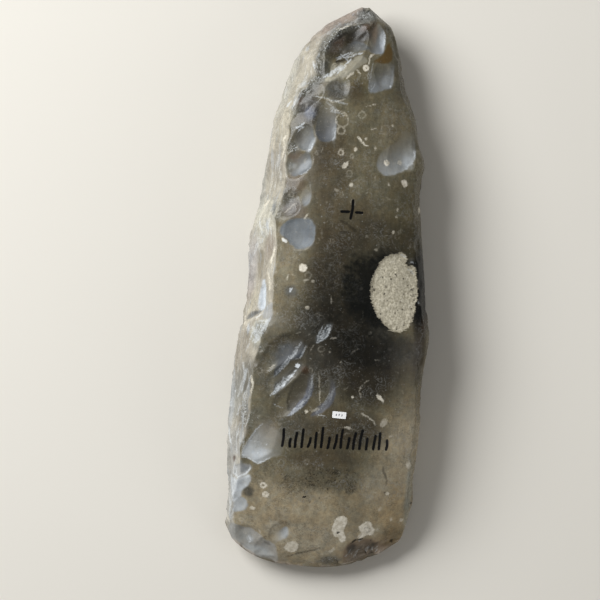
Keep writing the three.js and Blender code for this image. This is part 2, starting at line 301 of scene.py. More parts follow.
def surface_axes(face, f, station):
    """Across the face, along the axe and out of the stone."""
    step = 0.5
    g = min(max(f, 0.02), 0.98)
    up_along = unit(form_point(face, g, station + step) - form_point(face, g, station - step))
    across = unit(form_point(face, g + 0.01, station) - form_point(face, g - 0.01, station))
    return across, up_along, unit(np.cross(across, up_along))


class Bite:
    """The ellipsoid that a flake scar takes out of the stone."""

    def __init__(self, place, ahead, out, length, width, depth):
        height = depth * BITE_HEIGHT
        self.place, self.length = place, length
        self.centre = place + out * (height - depth)
        self.axes = np.array([ahead, np.cross(out, ahead), out])
        self.halves = np.array([length / 2 / BITE_REACH, width / 2 / BITE_REACH, height])

    def way_out(self, points, direction):
        """How far each point has to go along its direction to leave the ellipsoid, or 0 outside it."""
        p = (points - self.centre) @ self.axes.T / self.halves
        d = direction @ self.axes.T / self.halves
        a, b, c = (d * d).sum(-1), (p * d).sum(-1), (p * p).sum(-1) - 1
        root = np.sqrt(np.maximum(b * b - a * c, 0))
        return np.where(c < 0, (root - b) / a, 0)


def uneven(seed):
    """The same uneven numbers on every run, from -0.5 to 0.5."""
    n = math.sin(seed * 12.9898) * 43758.5453
    return n - math.floor(n) - 0.5


def bite_on(face, f, station, heading, *size):
    """A bite at a share and a station of a face. Heading 0 runs across the face and 90 towards the butt."""
    across, up_along, out = surface_axes(face, f, station)
    turn = math.radians(heading)
    ahead = across * math.cos(turn) + up_along * math.sin(turn)
    ahead = unit(ahead - out * (ahead @ out))
    return Bite(form_point(face, f, station), ahead, out, *size)


def upper_place(x, y):
    """The station, and the share across the upper face, of a place in the plan."""
    station = float(station_at(x, y))
    section = section_of(station)
    ridge, shoulder = section["ridge"][0], section["shoulder"][0]
    return station, float(np.clip((x - ridge) / (shoulder - ridge), 0, 1))


def upper_bite(x, y, heading, *size):
    """A bite of the upper face at a place in the plan."""
    station, f = upper_place(x, y)
    return bite_on("upper", f, station, heading, *size)


def row_bites(face, start, end, count, share, stagger, heading, length, width, depth, seed):
    """A row of bites along a face, uneven in place, heading and size."""
    for i in range(count):
        size = 1 + ROW_SIZE_SPREAD * uneven(seed + 3 * i)
        t = (i + 0.4 * uneven(seed + 3 * i + 1)) / (count - 1)
        turn = heading + ROW_TURN * uneven(seed + 3 * i + 2)
        yield bite_on(
            face, share + (i % 2) * stagger, start + (end - start) * t, turn,
            length * size, width * size, depth * size,
        )


def smooth_form():
    """The fine grid's points before knapping, its ways into the stone, and where each point lies."""
    t = np.linspace(0, 1, STATIONS)
    t = t - STATION_CROWDING * np.sin(2 * np.pi * t) / (2 * np.pi)
    station = (EDGE_Y + (BUTT_Y - EDGE_Y) * t)[:, None]
    section = section_of(station)
    xs, zs, shares, faces = [], [], [], []
    for number, (face, steps) in enumerate(STEPS.items()):
        f = np.arange(steps)[None, :] / steps
        x, z = FACES[face](section, f)
        xs.append(x)
        zs.append(z)
        shares.append(np.broadcast_to(f, x.shape))
        faces.append(np.full(x.shape, number))
    x, z, share, face = (np.concatenate(parts, axis=1) for parts in (xs, zs, shares, faces))
    points = np.stack([x, plan_y(station, x), z], -1)

    left, right = section["outline_left"][0], section["outline_right"][0]
    inset = np.minimum(CORE_INSET, 0.9 * (right - left) / 2)
    core_y = np.clip(points[..., 1], CORE_EDGE_Y, CORE_BUTT_Y)
    core_x = np.clip(x, left + inset, right - inset)
    core = np.stack([core_x, core_y, (crest(core_y) + keel(core_y)) / 2], -1)
    return points, unit(core - points), face, share, section


def knap(points, inward, bites, rounds, wander):
    """Moves the points inwards past every bite over them. Returns which bite each point ended on, or -1.

    Each point feels the bites as if it lay off its place by its wander, so that their edges are uneven."""
    flat, ways = points.reshape(-1, 3), inward.reshape(-1, 3)
    owner = np.full(len(flat), -1)
    for _ in range(rounds):
        best = np.zeros(len(flat))
        for number, bite in enumerate(bites):
            near = np.flatnonzero(np.linalg.norm(flat - bite.centre, axis=1) < bite.halves.max())
            way = bite.way_out(flat[near] + wander[near], ways[near])
            more = way > best[near]
            best[near[more]] = way[more]
            owner[near[more]] = number
        flat += ways * best[:, None]
    return owner.reshape(points.shape[:2])


def grid_normals(points):
    """The way out of the surface at each grid point."""
    around = np.roll(points, -1, axis=1) - np.roll(points, 1, axis=1)
    ahead = np.gradient(points, axis=0)
    return unit(np.cross(around, ahead) + 1e-12)


def noise(points, size, seed):
    """Smooth noise from -1 to 1, with features about size across."""
    p = points / size + 17.3 * seed
    cell = np.floor(p)
    t = p - cell
    t = t * t * (3 - 2 * t)
    total = 0
    for corner in itertools.product((0, 1), repeat=3):
        mixed = np.sin((cell + corner) @ (12.9898, 78.233, 37.719)) * 43758.5453
        weight = np.prod(np.where(corner, t, 1 - t), axis=-1)
        total = total + (2 * (mixed - np.floor(mixed)) - 1) * weight
    return total


# ---- Shapes in the plan, in millimetres ----


POINTS_PER_SIDE = 5


def closed_curve(corners):
    """A smooth closed line through the corners (Catmull-Rom)."""
    p = np.array(corners, float)
    before, after, beyond = np.roll(p, 1, 0), np.roll(p, -1, 0), np.roll(p, -2, 0)
    t = (np.arange(POINTS_PER_SIDE) / POINTS_PER_SIDE)[None, :, None]
    a, b, c, d = (q[:, None, :] for q in (before, p, after, beyond))
    line = b + 0.5 * t * (c - a + t * (2 * a - 5 * b + 4 * c - d + t * (3 * (b - c) + d - a)))
    return line.reshape(-1, 2)


def to_line(plan, line):
    """The distance from each plan point to a line of points, and how far along it that is, from 0 to 1."""
    corners = np.array(line, float)
    passed = np.append(0, np.cumsum(np.hypot(*np.diff(corners, axis=0).T)))
    distance, run = np.full(len(plan), 1e9), np.zeros(len(plan))
    for start, end, before, after in zip(corners, corners[1:], passed, passed[1:]):
        way = end - start
        t = np.clip((plan - start) @ way / (way @ way + 1e-12), 0, 1)
        off = np.hypot(*(plan - start - t[:, None] * way).T)
        run = np.where(off < distance, before + t * (after - before), run)
        distance = np.minimum(off, distance)
    return distance, run / passed[-1]


def depth_inside(plan, outline):
    """Positive inside a closed outline, negative outside."""
    corners = np.array(outline, float)
    x, y = plan.T
    inside = np.zeros(len(plan), bool)
    for (ax, ay), (bx, by) in zip(corners, np.roll(corners, -1, 0)):
        if ay != by:
            inside ^= ((ay > y) != (by > y)) & (x < ax + (y - ay) * (bx - ax) / (by - ay))
    distance, _ = to_line(plan, [*corners, corners[0]])
    return np.where(inside, distance, -distance)


def turned(plan, x, y, turn):
    """Plan points seen from (x, y), in axes turned by this many degrees."""
    c, s = math.cos(math.radians(turn)), math.sin(math.radians(turn))
    dx, dy = plan[:, 0] - x, plan[:, 1] - y
    return dx * c + dy * s, dy * c - dx * s


def dab(plan, x, y, across, length, turn):
    """A soft elliptical dab: 1 in its middle and 0 well outside it."""
    u, v = turned(plan, x, y, turn)
    return 1 - ease(np.hypot(u / across, v / length), 0.45, 1.25)


def strongest(covers):
    """The strongest of several covers at each point."""
    return np.maximum.reduce(list(covers))


# How far round a mark its depth is kept, and the depth where no mark is near.
MARK_MARGIN = 1.5
FAR_OUTSIDE = -9.0


class Marks:
    """Small marks: the signed distance into the nearest one at each plan point, and its strength."""

    def __init__(self, plan, taper=0.8):
        self.plan, self.taper = plan, taper
        self.depth = np.full(len(plan), FAR_OUTSIDE)
        self.strength = np.zeros(len(plan))

    def add(self, line, reach, depth_at, strength):
        low, high = np.min(line, axis=0) - reach, np.max(line, axis=0) + reach
        near = np.flatnonzero(((self.plan > low) & (self.plan < high)).all(1))
        depth = depth_at(self.plan[near])
        nearer = depth > self.depth[near]
        self.depth[near[nearer]] = depth[nearer]
        self.strength[near[nearer]] = strength

    def stroke(self, half_width, strength, *line):
        def depth_at(plan):
            distance, run = to_line(plan, line)
            return half_width * (1 - self.taper * (2 * run - 1) ** 4) - distance

        self.add(line, half_width + MARK_MARGIN, depth_at, strength)

    def disc(self, x, y, across, length, turn, strength):
        def depth_at(plan):
            u, v = turned(plan, x, y, turn)
            return (1 - np.hypot(u / across, v / length)) * min(across, length)

        self.add([(x, y)], max(across, length) + MARK_MARGIN, depth_at, strength)

    def ring(self, x, y, radius, half_width, strength):
        def depth_at(plan):
            return half_width - np.abs(np.hypot(plan[:, 0] - x, plan[:, 1] - y) - radius)

        self.add([(x, y)], radius + half_width + MARK_MARGIN, depth_at, strength)

    def blob(self, outline, strength):
        line = closed_curve(outline)
        self.add(outline, MARK_MARGIN, lambda plan: depth_inside(plan, line), strength)


# ---- Colours ----


def rgb(code):
    """A colour code as linear red, green and blue."""
    parts = [int(code[i:i + 2], 16) / 255 for i in (0, 2, 4)]
    return np.array([p / 12.92 if p <= 0.04045 else ((p + 0.055) / 1.055) ** 2.4 for p in parts])


# The palette, as colour codes.
ASH, FAWN, DUST, UMBER, PEAT = "655f4c", "958a73", "736b57", "40382a", "231f17"
OLIVE, MOSS, PLUM, SMOKE, SLATE = "4a432d", "655b42", "5f554b", "45433d", "4b4f52"
COLD, BLUE, PALE, ICE, CREAM = "65696c", "797e83", "999d9f", "b9bfc4", "a7a18e"
BONE, SHELL, SAND, STEEL, MAUVE = "b8b5a6", "9f998b", "8f887b", "989998", "82766d"
SOOT, INK, RUST, GLINT = "050706", "050506", "4a3020", "ccd1d4"
DARK, TOFFEE, EDGE_PALE = "17120e", "57431f", "b3a79b"

# Soft dabs of colour, each painted over the last: x, y, radius across and along, turn, strength, colour.
UPPER_DABS = [
    (0, -88, 60, 24, 0, 1, FAWN), (33, -56, 16, 20, 0, 0.95, FAWN), (27, -36, 10, 12, 0, 0.5, MOSS),
    # The DUST dab at (-18, 4) is a painted reflection, lighter where the face turns down to the left.
    (-18, 4, 7, 22, 0, 0.9, DUST), (-20, -30, 8, 14, 0, 0.5, SMOKE), (-5, 42, 9, 20, 0, 0.7, UMBER),
    (2, 22, 15, 12, 0, 0.6, UMBER), (24, 24, 9, 18, 0, 0.6, OLIVE), (-3, 8, 9, 16, 0, 0.75, UMBER),
    (3, -18, 22, 22, 0, 0.9, PEAT), (-6, -30, 12, 16, 30, 0.4, SMOKE), (5, -50, 18, 9, 0, 0.7, UMBER),
    (15, -31, 12, 12, 0, 0.85, PEAT), (1, -61.5, 15, 5, 0, 0.75, UMBER), (-14, -50, 10, 8, 0, 0.5, SMOKE),
    # The PEAT dab at (-4, 87) is painted shade in the hollow under the butt's crest.
    (-4, 87, 9, 6, 45, 0.85, PEAT), (5, 92, 4, 4, 0, 0.6, "5a4636"), (-6, 86, 2.5, 4, -30, 0.5, PLUM),
    (4, 75, 6, 8, 0, 0.4, OLIVE), (2.5, 69, 3, 5, 0, 0.6, UMBER), (17, 78, 3.5, 14, 8, 0.5, SMOKE),
    (-14, 62, 5, 8, 0, 0.9, "3f3d3a"), (-18, 66, 1.8, 3, 0, 0.7, "4a3b32"),
    (-4.5, 69.5, 5.4, 4, 0, 0.85, "4a4a47"), (-9.4, 76.5, 2.2, 5, -10, 0.85, "4b4a42"),
    (-13, 70.4, 3.4, 2.6, 40, 0.8, SMOKE), (-16.6, 58.4, 2, 1.6, 0, 0.7, "5b554b"),
    (-17.5, 52, 3.5, 6, 0, 0.6, SMOKE), (-17, 45, 3, 3, 0, 0.7, PLUM), (-17, 35.5, 4.5, 5, 0, 0.7, PLUM),
    (-18.5, 30.5, 3.5, 4, 0, 0.5, SMOKE), (-15, 25.5, 4, 4, 0, 0.6, PLUM),
    (32.5, -4, 3, 26, 0, 0.8, OLIVE), (29, -88, 6, 7, -30, 0.6, MOSS), (12, -76, 9, 9, 0, 0.3, MOSS),
    (-25, -74.6, 2.2, 2.4, 20, 0.85, SMOKE), (4, 96.5, 5, 3, 20, 0.7, SLATE),
    # The dab at (3, 90.6) is painted shade in the same hollow.
    (3, 90.6, 3, 3.6, 30, 0.8, "35322c"), (16, -97, 9, 3, 18, 0.4, SMOKE), (-20, -54, 5, 6, 0, 0.5, SAND),
    # The PEAT dab at (2.5, 91) is painted shade in the same hollow.
    (2.5, 91, 3, 5.5, 0, 0.85, PEAT), (17, 58, 6, 9, 0, 0.5, DUST), (5, -68, 11, 5, 0, 0.5, OLIVE),
    (-10, -70, 8, 5, -20, 0.3, OLIVE), (14, 18, 12, 9, 0, 0.5, PEAT), (26, 17, 5, 9, 0, 0.5, PEAT),
    (-7, 47, 4, 6, 0, 0.6, UMBER), (13, -50, 12, 6, 0, 0.4, PEAT), (30, -20, 5, 14, 0, 0.4, MOSS),
    # The PEAT dab at (1.5, 90) is painted shade in the same hollow.
    (-29.5, -72, 2.5, 9, 0, 0.7, ICE), (1.5, 90, 5.5, 3.6, 30, 0.85, PEAT),
    (5.5, 93.4, 2.2, 1.6, 30, 0.6, UMBER), (31.5, -10, 2.6, 22, 0, 0.85, "2c241a"),
    (24, -24, 10, 9, 0, 0.6, PEAT), (25, -76, 8, 9, 0, 0.5, "9c8763"),
    (31.7, -72, 1.3, 14, 0, 0.6, "84867c"), (27, -87, 4, 5, -30, 0.5, "7d6a4c"),
    (-17.5, 26.6, 4.5, 3.2, 40, 0.85, "45403a"), (-4, -14, 9, 8, 0, 0.5, PEAT),
    (-15.4, -2.6, 2.4, 2.4, 0, 0.6, SLATE), (-14, -86, 9, 5, 0, 0.4, "7c7260"),
    # The pale dab at (-3, -90) is painted light on the slopes by the cutting edge.
    (-3, -90, 14, 6, 0, 0.5, "a59c88"), (20, -70, 6, 8, 0, 0.5, "97907e"),
    # The pale dab at (-15, -86.6) is painted light over a scar's shade.
    (-15, -86.6, 3, 2.6, 0, 0.8, "a89f8b"), (32.4, 2, 1.4, 15, 0, 0.8, "3c2b1b"),
    (3, -68, 14, 5, 3, 0.5, "4a463a"), (17, -92.5, 9, 4, 20, 0.7, "7a6650"),
]
SIDE_DABS = [
    (-5, 95, 16, 4.5, 28, 0.9, MAUVE), (-14, 87, 3, 5, -35, 0.5, SAND), (-22, 62, 6, 18, 0, 0.3, CREAM),
    (-24, 43, 4, 7, 0, 0.6, SAND), (-26, 22, 6, 9, 0, 0.7, BONE), (-29.5, 4, 4, 14, 0, 0.8, SHELL),
    (-26, 4, 2.5, 7, 0, 0.6, SAND), (-30, -3, 2, 9, 8, 0.5, MAUVE),
    (-28.5, -7.5, 1.6, 5, -15, 0.6, CREAM), (-31.5, -25, 4, 12, 0, 0.9, SAND),
    (-28.5, -34, 4, 8, 0, 0.9, "66635a"), (-32, -42, 3, 9, 0, 0.7, "85857f"),
    (-28.5, -49, 3, 8, 0, 0.7, SAND), (-31, -57, 4, 6, 0, 0.5, STEEL), (-32, -68, 3, 12, 0, 0.5, STEEL),
    (-31, -88, 5, 8, 0, 0.6, SHELL), (3.6, 96.8, 4, 3, 20, 0.8, SLATE),
    (-30, 6, 2.4, 12, 0, 0.7, "9e9a98"), (-24, 13, 1.9, 5.5, 0, 0.7, "877c70"),
    (-28.6, 42, 1.6, 22, 0, 0.5, "9c9d99"), (-21.5, 72, 1.8, 16, -14, 0.5, "a5a49c"),
    (-33.4, -44, 1.2, 12, 0, 0.6, "9da1a4"), (-31.2, -80, 1.6, 7, 0, 0.6, "a3a4a2"),
    (-12.6, 70.6, 2.6, 2.2, 40, 0.9, SMOKE), (-11.4, 77, 1.8, 6, 0, 0.7, "5c5c54"),
    (-10.4, 84.6, 2, 5, -20, 0.7, SMOKE), (-6, 90.6, 5, 1.6, 38, 0.6, "62625a"),
]
# Patches with an edge of their own: colour, strength, depth of the step at the edge, heading towards which
# the patch grows stronger (None: even), and the outline.
# The bluish and pale grey patches in the scars are partly the translucent stone's own tone and partly painted
# reflection.
PATCHES = [
    (SLATE, 0.75, 0.15, 20, [(-1, 86.8), (2.5, 87.5), (6, 85.5), (3, 84), (-2, 82.5), (-5, 82.8)]),
    (BLUE, 0.95, 0.25, -20, [
        (8.2, 94.5), (10, 93), (11.1, 90), (11.1, 86), (10.6, 84), (9, 83.6), (6, 84), (4.5, 87),
        (5.5, 91)
    ]),
    (BLUE, 0.75, 0.2, -60, [
        (7, 79.5), (14.6, 80.5), (15.1, 76), (14.9, 72.2), (12, 71), (7.5, 69.5), (6.3, 73), (6.5, 77)
    ]),
    (TOFFEE, 0.9, 0, None, [
        (7.6, 80.8), (11, 80.4), (14, 81.5), (13.8, 85), (12.6, 88), (11.6, 86), (10.6, 83.2)
    ]),
    ("4c5055", 0.85, 0.15, -70, [
        (-5, 66), (-4, 60), (-3.8, 55.5), (-4.2, 52.3), (-6, 51), (-9.5, 51.3), (-11, 55), (-10, 61),
        (-8, 65)
    ]),
    (COLD, 0.9, 0.15, -30, [
        (-15, 56.2), (-12.4, 55.6), (-11.2, 52.5), (-11.3, 49.5), (-12.6, 47.2), (-14.4, 47.4),
        (-16.8, 48.6), (-18.4, 50.6), (-18, 53.8)
    ]),
    (COLD, 0.95, 0.15, -35, [
        (-12.8, 47), (-11.6, 44), (-11.8, 41.3), (-13.2, 39.4), (-16, 38.3), (-18.3, 38.2), (-20, 40),
        (-20.7, 42.5), (-19.5, 44.8), (-16.8, 44.2), (-15, 46)
    ]),
    (BLUE, 0.75, 0.15, -50, [
        (-11.2, 33.5), (-10.8, 31), (-11.5, 28.5), (-13, 27.8), (-14, 30), (-13.2, 33.4)
    ]),
    ("6c7277", 0.9, 0.2, None, [
        (-12, 23.5), (-9.5, 22.6), (-8.3, 19.5), (-8.6, 16), (-10.3, 13.5), (-13.5, 12.4), (-16.5, 13.6),
        (-18.6, 15.8), (-20.8, 17.2), (-20.5, 20), (-18, 22.5), (-15, 23.2)
    ]),
    (PALE, 0.75, 0.2, -60, [
        (23.5, 56), (24.8, 52), (25.2, 48.5), (24.5, 46.5), (22.5, 44), (20.5, 42.4), (17, 41), (14, 41),
        (11.5, 44), (13, 49), (18, 53), (20.5, 57)
    ]),
    ("3f444a", 0.85, 0.1, -50, [
        (-19, -31), (-16.5, -25), (-12.5, -20), (-10.3, -19.5), (-9.2, -22), (-10, -25.5), (-14, -27.5),
        (-18, -32.8)
    ]),
    (SLATE, 0.8, 0.25, -50, [
        (-18.8, -38.5), (-18.3, -34), (-14, -29.5), (-10, -27.2), (-9.6, -28.8), (-12.5, -32.5),
        (-15, -36.8), (-18.6, -39.6)
    ]),
    (PEAT, 0.7, 0.3, -60, [
        (-8.5, -28.6), (-6, -29.5), (-5.4, -33), (-6, -37), (-9, -42), (-12.5, -45), (-14, -42),
        (-12.5, -36)
    ]),
    ("575c69", 0.85, 0.2, -60, [
        (-6.4, -30.5), (-4.7, -35), (-5.4, -39), (-7.8, -43), (-13.3, -47), (-10.4, -42.6), (-7.8, -38.5)
    ]),
    ("4d515c", 0.7, 0.1, -40, [
        (0.2, -31), (2.6, -34), (3.2, -38), (1.8, -42), (-1.5, -45), (-5, -46), (-3, -42.8), (0, -40),
        (1, -36)
    ]),
    (SLATE, 0.9, 0.25, -60, [
        (-3.2, -12.6), (-0.4, -13), (-1, -16.8), (-2.8, -19.2), (-5, -20.2), (-5.3, -18.5), (-4.2, -16)
    ]),
    (PALE, 0.9, 0.25, 215, [
        (-21.6, -49.8), (-24.5, -53), (-26.7, -57), (-28, -60), (-28.4, -62.3), (-26.5, -62.6),
        (-24.5, -63.5), (-22.5, -64.3), (-20.5, -63.6), (-17.5, -62), (-14, -60), (-14, -55), (-17, -52)
    ]),
    (STEEL, 0.9, 0.3, None, [
        (-30.2, -65.4), (-25, -65.2), (-24.9, -67), (-26.8, -69.2), (-29, -70), (-30.8, -68.5)
    ]),
    (COLD, 0.7, 0, None, [(-28.5, -66), (-25.6, -66), (-27, -68), (-28.4, -68)]),
    (ICE, 0.75, 0, None, [
        (-25.5, -68.5), (-24.3, -70), (-25.4, -72.8), (-27.3, -74.6), (-27.8, -77), (-29.7, -79),
        (-30.8, -76), (-31.4, -70.5), (-29, -70.6)
    ]),
    (PALE, 0.9, 0.1, None, [
        (-27.5, -76.8), (-25.2, -78), (-25, -80.5), (-27, -82), (-30, -82.2), (-29.7, -79.4)
    ]),
    (STEEL, 0.72, 0.12, None, [
        (-30.5, -86.6), (-26.5, -87.2), (-22.6, -87.8), (-20, -89.6), (-18, -91.4), (-15.6, -92.2),
        (-13.8, -93.6), (-13, -96.4), (-13.4, -100), (-20, -100), (-27, -97.5), (-31, -92)
    ]),
    (SMOKE, 0.5, 0, None, [(-18.2, -92), (-16.4, -92.2), (-15.6, -93.4), (-17.2, -93.2)]),
    (PALE, 0.85, 0.1, 0, [
        (-10.2, -86.3), (-9.7, -89.5), (-12, -91), (-15, -93.3), (-15.6, -91), (-13.5, -88)
    ]),
    ("7e6c58", 0.75, 0.25, None, [
        (11.3, -92), (13.5, -90), (16, -88.9), (19, -88.2), (22, -89.3), (25.5, -90.6), (24.8, -92.5),
        (21.5, -94.2), (19, -95.8), (16, -97.4), (11, -97.6), (10.6, -94.6)
    ]),
    (DARK, 0.6, 0.1, None, [(12, -92), (14.4, -91), (14.8, -92.4), (12.6, -94.6), (11.8, -94)]),
    (DARK, 0.6, 0.1, None, [(19, -92), (20.4, -89.8), (22.6, -89.6), (21, -91), (19.8, -92.6)]),
    (STEEL, 0.7, 0, None, [(16, -94), (18.6, -93.6), (18.4, -95.6), (16, -96.6)]),
    ("8c887a", 0.7, 0, None, [
        (-9, 72.3), (-6.6, 75), (-3, 77), (-1, 80), (3, 82.6), (5.4, 80.6), (2, 77.8), (0, 75.6),
        (-3.6, 73.6)
    ]),
    (CREAM, 0.8, -0.1, None, [
        (-9, 72.6), (-7.6, 75.4), (-6.9, 78.7), (-4.6, 79.3), (-2, 79), (-2.4, 76.8), (-4.2, 74.8),
        (-6.4, 73.2)
    ]),
    (ICE, 0.95, 0.9, None, [
        (-25.3, 0.8), (-24.4, -0.6), (-24, -5), (-24.1, -9.4), (-25.8, -10), (-26.6, -7), (-26, -2.6)
    ]),
    (STEEL, 0.8, 0.1, None, [(-24, -9.5), (-21.7, -7), (-21.3, -12.5), (-22.5, -14), (-24.5, -13)]),
    # This dark slate patch in the notch on the left side is painted shade.
    (SLATE, 0.75, 0.6, None, [
        (-30.4, -13.6), (-29.4, -11.6), (-27.5, -10.7), (-25, -10), (-27, -12), (-29.4, -13.6)
    ]),
    (BONE, 0.85, -0.2, None, [
        (-26.5, -14), (-23.2, -13), (-22.8, -16), (-24.5, -18.5), (-25.2, -22), (-27, -22.8),
        (-28.5, -19), (-27.7, -15.5)
    ]),
    (MOSS, 0.35, 0.2, None, [(-26.8, 12), (-25.6, 8), (-25.8, 1.5), (-27.6, 2), (-28, 7)]),
    (SLATE, 0.8, 0.6, None, [(-24, 27), (-23.2, 26.8), (-23.3, 24.6), (-24, 24)]),
    (RUST, 0.7, 0.5, None, [(-31.2, -62.4), (-30.4, -62.8), (-30.6, -64.6), (-31.4, -64)]),
]
# Soft gleams and shades over the patches: x, y, radius across and along, turn, strength, colour.
# They are painted highlights and painted shade, with a few spots of the stone's own colour.
GLEAMS = [
    (-13.9, 42, 1.3, 3.4, -45, 0.3, ICE), (-17, 26.4, 3.6, 2.6, 0, 0.6, "4e473f"),
    (-18.4, 41.6, 1.6, 1.2, 0, 0.4, PALE), (-18.4, 45, 2, 1.2, 0, 0.6, "5d5248"),
    (-12, 49.6, 1, 3, -25, 0.35, ICE), (-16.4, 51.6, 1.4, 2.2, 0, 0.5, SMOKE),
    (-4.4, 54.5, 0.9, 3.6, 0, 0.35, PALE), (-8.4, 58, 2.4, 5, 0, 0.5, "45443f"),
    (-13.4, 60.8, 2.2, 2.6, 0, 0.75, "565b68"), (10.2, 88.6, 1, 3.8, 4, 0.5, ICE),
    (7.4, 90, 1.2, 3.4, 0, 0.5, "77695a"), (13, 74, 2.2, 2.4, 0, 0.4, PALE),
    (9, 76.6, 1.4, 3, 0, 0.4, "5c5d52"), (-10.6, 16.6, 2, 3.6, 10, 0.5, "666b70"),
    # The pale gleam at (-20.5, -95.8) is painted light on the slope by the cutting edge.
    (-8.2, -30, 1.6, 1.6, 0, 0.6, "402812"), (-20.5, -95.8, 6, 2, -12, 0.7, "b4b8b8"),
    (-25, -91.2, 4.4, 2.6, -10, 0.5, "7d7f7c"), (-22, -60.6, 4, 2, 12, 0.4, ICE),
    (22.6, 46, 2.2, 3, 30, 0.35, ICE), (13, -91.6, 1.5, 2.2, -20, 0.6, "33281f"),
    (20.4, -91.2, 1.8, 1, 40, 0.5, "44362b"), (17.2, -95.2, 2.2, 1.1, 20, 0.6, "a79b90"),
    (23.4, -91.8, 1.8, 0.9, 20, 0.5, "a08e7c"), (16.6, -91.4, 1.6, 1.1, 40, 0.5, "9c8b79"),
    # The dark gleam at (-0.6, 89.4) is painted shade in the hollow under the butt's crest.
    (13.4, -96.6, 2.4, 1, 10, 0.5, "93887b"), (-0.6, 89.4, 3.2, 1.6, 30, 0.7, "26231e"),
    (-4.6, 91.4, 3, 0.9, 32, 0.6, "8a887c"), (-5.4, 87.6, 2.4, 2.4, 0, 0.6, "3d2f27"),
    (3.4, 92.6, 2, 1.4, 30, 0.7, "4a3a2e"), (-9.6, 77, 1.2, 3.6, -12, 0.7, "45443d"),
    (-23.2, -91.6, 1.4, 1.4, 0, 0.3, ICE), (-16, -24.6, 3.4, 5, -42, 0.5, "454b53"),
    (-1.6, -16, 1, 3.4, -22, 0.5, "4c565c"),
]
# Grainy, crushed stone with white flecks: x, y, radius across and along, turn, strength, relief.
CRUSHED = [
    (3.8, 96.6, 3.8, 3, 10, 0.85, 0.35), (-1, 93.2, 5, 2.4, 24, 0.95, 0.3),
    (-6.2, 90, 4.6, 2.8, 40, 1, 0.35), (-9.8, 85.2, 2.7, 5, -20, 1, 0.4),
    (-11.6, 78, 1.7, 6, 0, 0.9, 0.35), (-12.8, 72.4, 3.8, 2.2, 35, 1, 0.35),
    (-16.3, 68, 2.8, 1.9, 40, 1, 0.35), (-5.2, 76, 3, 4, -30, 0.55, 0.35),
    (-19.3, 61, 1.2, 3, 0, 0.8, 0.3), (-18.5, 48, 2.2, 2.6, 0, 1, 0.35),
    (-19.3, 41.5, 1.3, 3, 0, 0.8, 0.2), (-19, 31, 2, 3.6, 0, 0.55, 0.15),
    (-22.5, 25.5, 2, 4, 0, 0.7, 0.25), (-25.5, -17.5, 2.4, 5.5, -20, 1, 0.35),
    (-25.5, -23, 3, 2, -30, 0.7, 0.25), (-28.6, -47, 1.7, 7, 0, 1, 0.3),
    (-25, -48, 2.6, 5, -20, 0.7, 0.25), (26.8, 10.6, 1.6, 1.4, 0, 0.8, 0.4),
    (5.5, -97, 5, 1.8, 8, 0.9, 0.2), (17, -93.5, 7, 3.5, 20, 0.7, 0.3),
    (12.4, 91.5, 1.2, 3.4, 20, 0.7, 0.25), (-15, -34, 1.6, 5, -40, 0.7, 0.15),
    (-27.5, -89.5, 2.5, 3, 30, 0.5, 0.15), (-6, -15, 6, 5, 0, 0.35, 0.05), (-28, 33, 1, 8, 0, 0.3, 0.1),
    (17.5, -15, 4, 3, 0, 0.4, 0.05),
]
# The black stain round the chalk patch: x, y, radius across and along, turn, strength.
STAIN = [
    (17, 0, 14, 18, 0, 1), (10, 0, 11, 17, 15, 0.85), (4, 0, 17, 22, 10, 0.55),
    (12, -20, 17, 10, 0, 0.65), (30, 2, 5, 17, 0, 1), (0, -13, 12, 8, 0, 0.45), (24, -20, 8, 7, 0, 0.5),
]
# Sooty speckles: x, y, radius across and along, turn, strength.
SMUDGES = [
    (4, -68, 13, 5, 4, 0.85), (10, -68.5, 4.5, 5.5, 0, 0.95), (-9, -71, 8, 6, -20, 0.5),
    (-13, -68, 3, 2, 0, 0.7), (1, -66.5, 4, 2, -10, 0.9), (7, -70, 5, 2.5, -10, 0.85),
]

# The chalk patch: its outline, how far it is sunk and how rough it is.
CHALK_OUTLINE = [
    (20, 13.2), (23.2, 14), (24.6, 12.4), (24.9, 9.4), (27.6, 9.8), (28.6, 6), (29.4, 1.5), (29.4, -3),
    (28.5, -9), (26.6, -13), (24, -14.3), (21, -13.8), (18, -11.5), (15.4, -8.4), (13.3, -4), (12.7, 0),
    (13, 4), (14.5, 8.4), (17, 12),
]
CHALK_SINK = 0.3
CHALK_RELIEF = 0.12

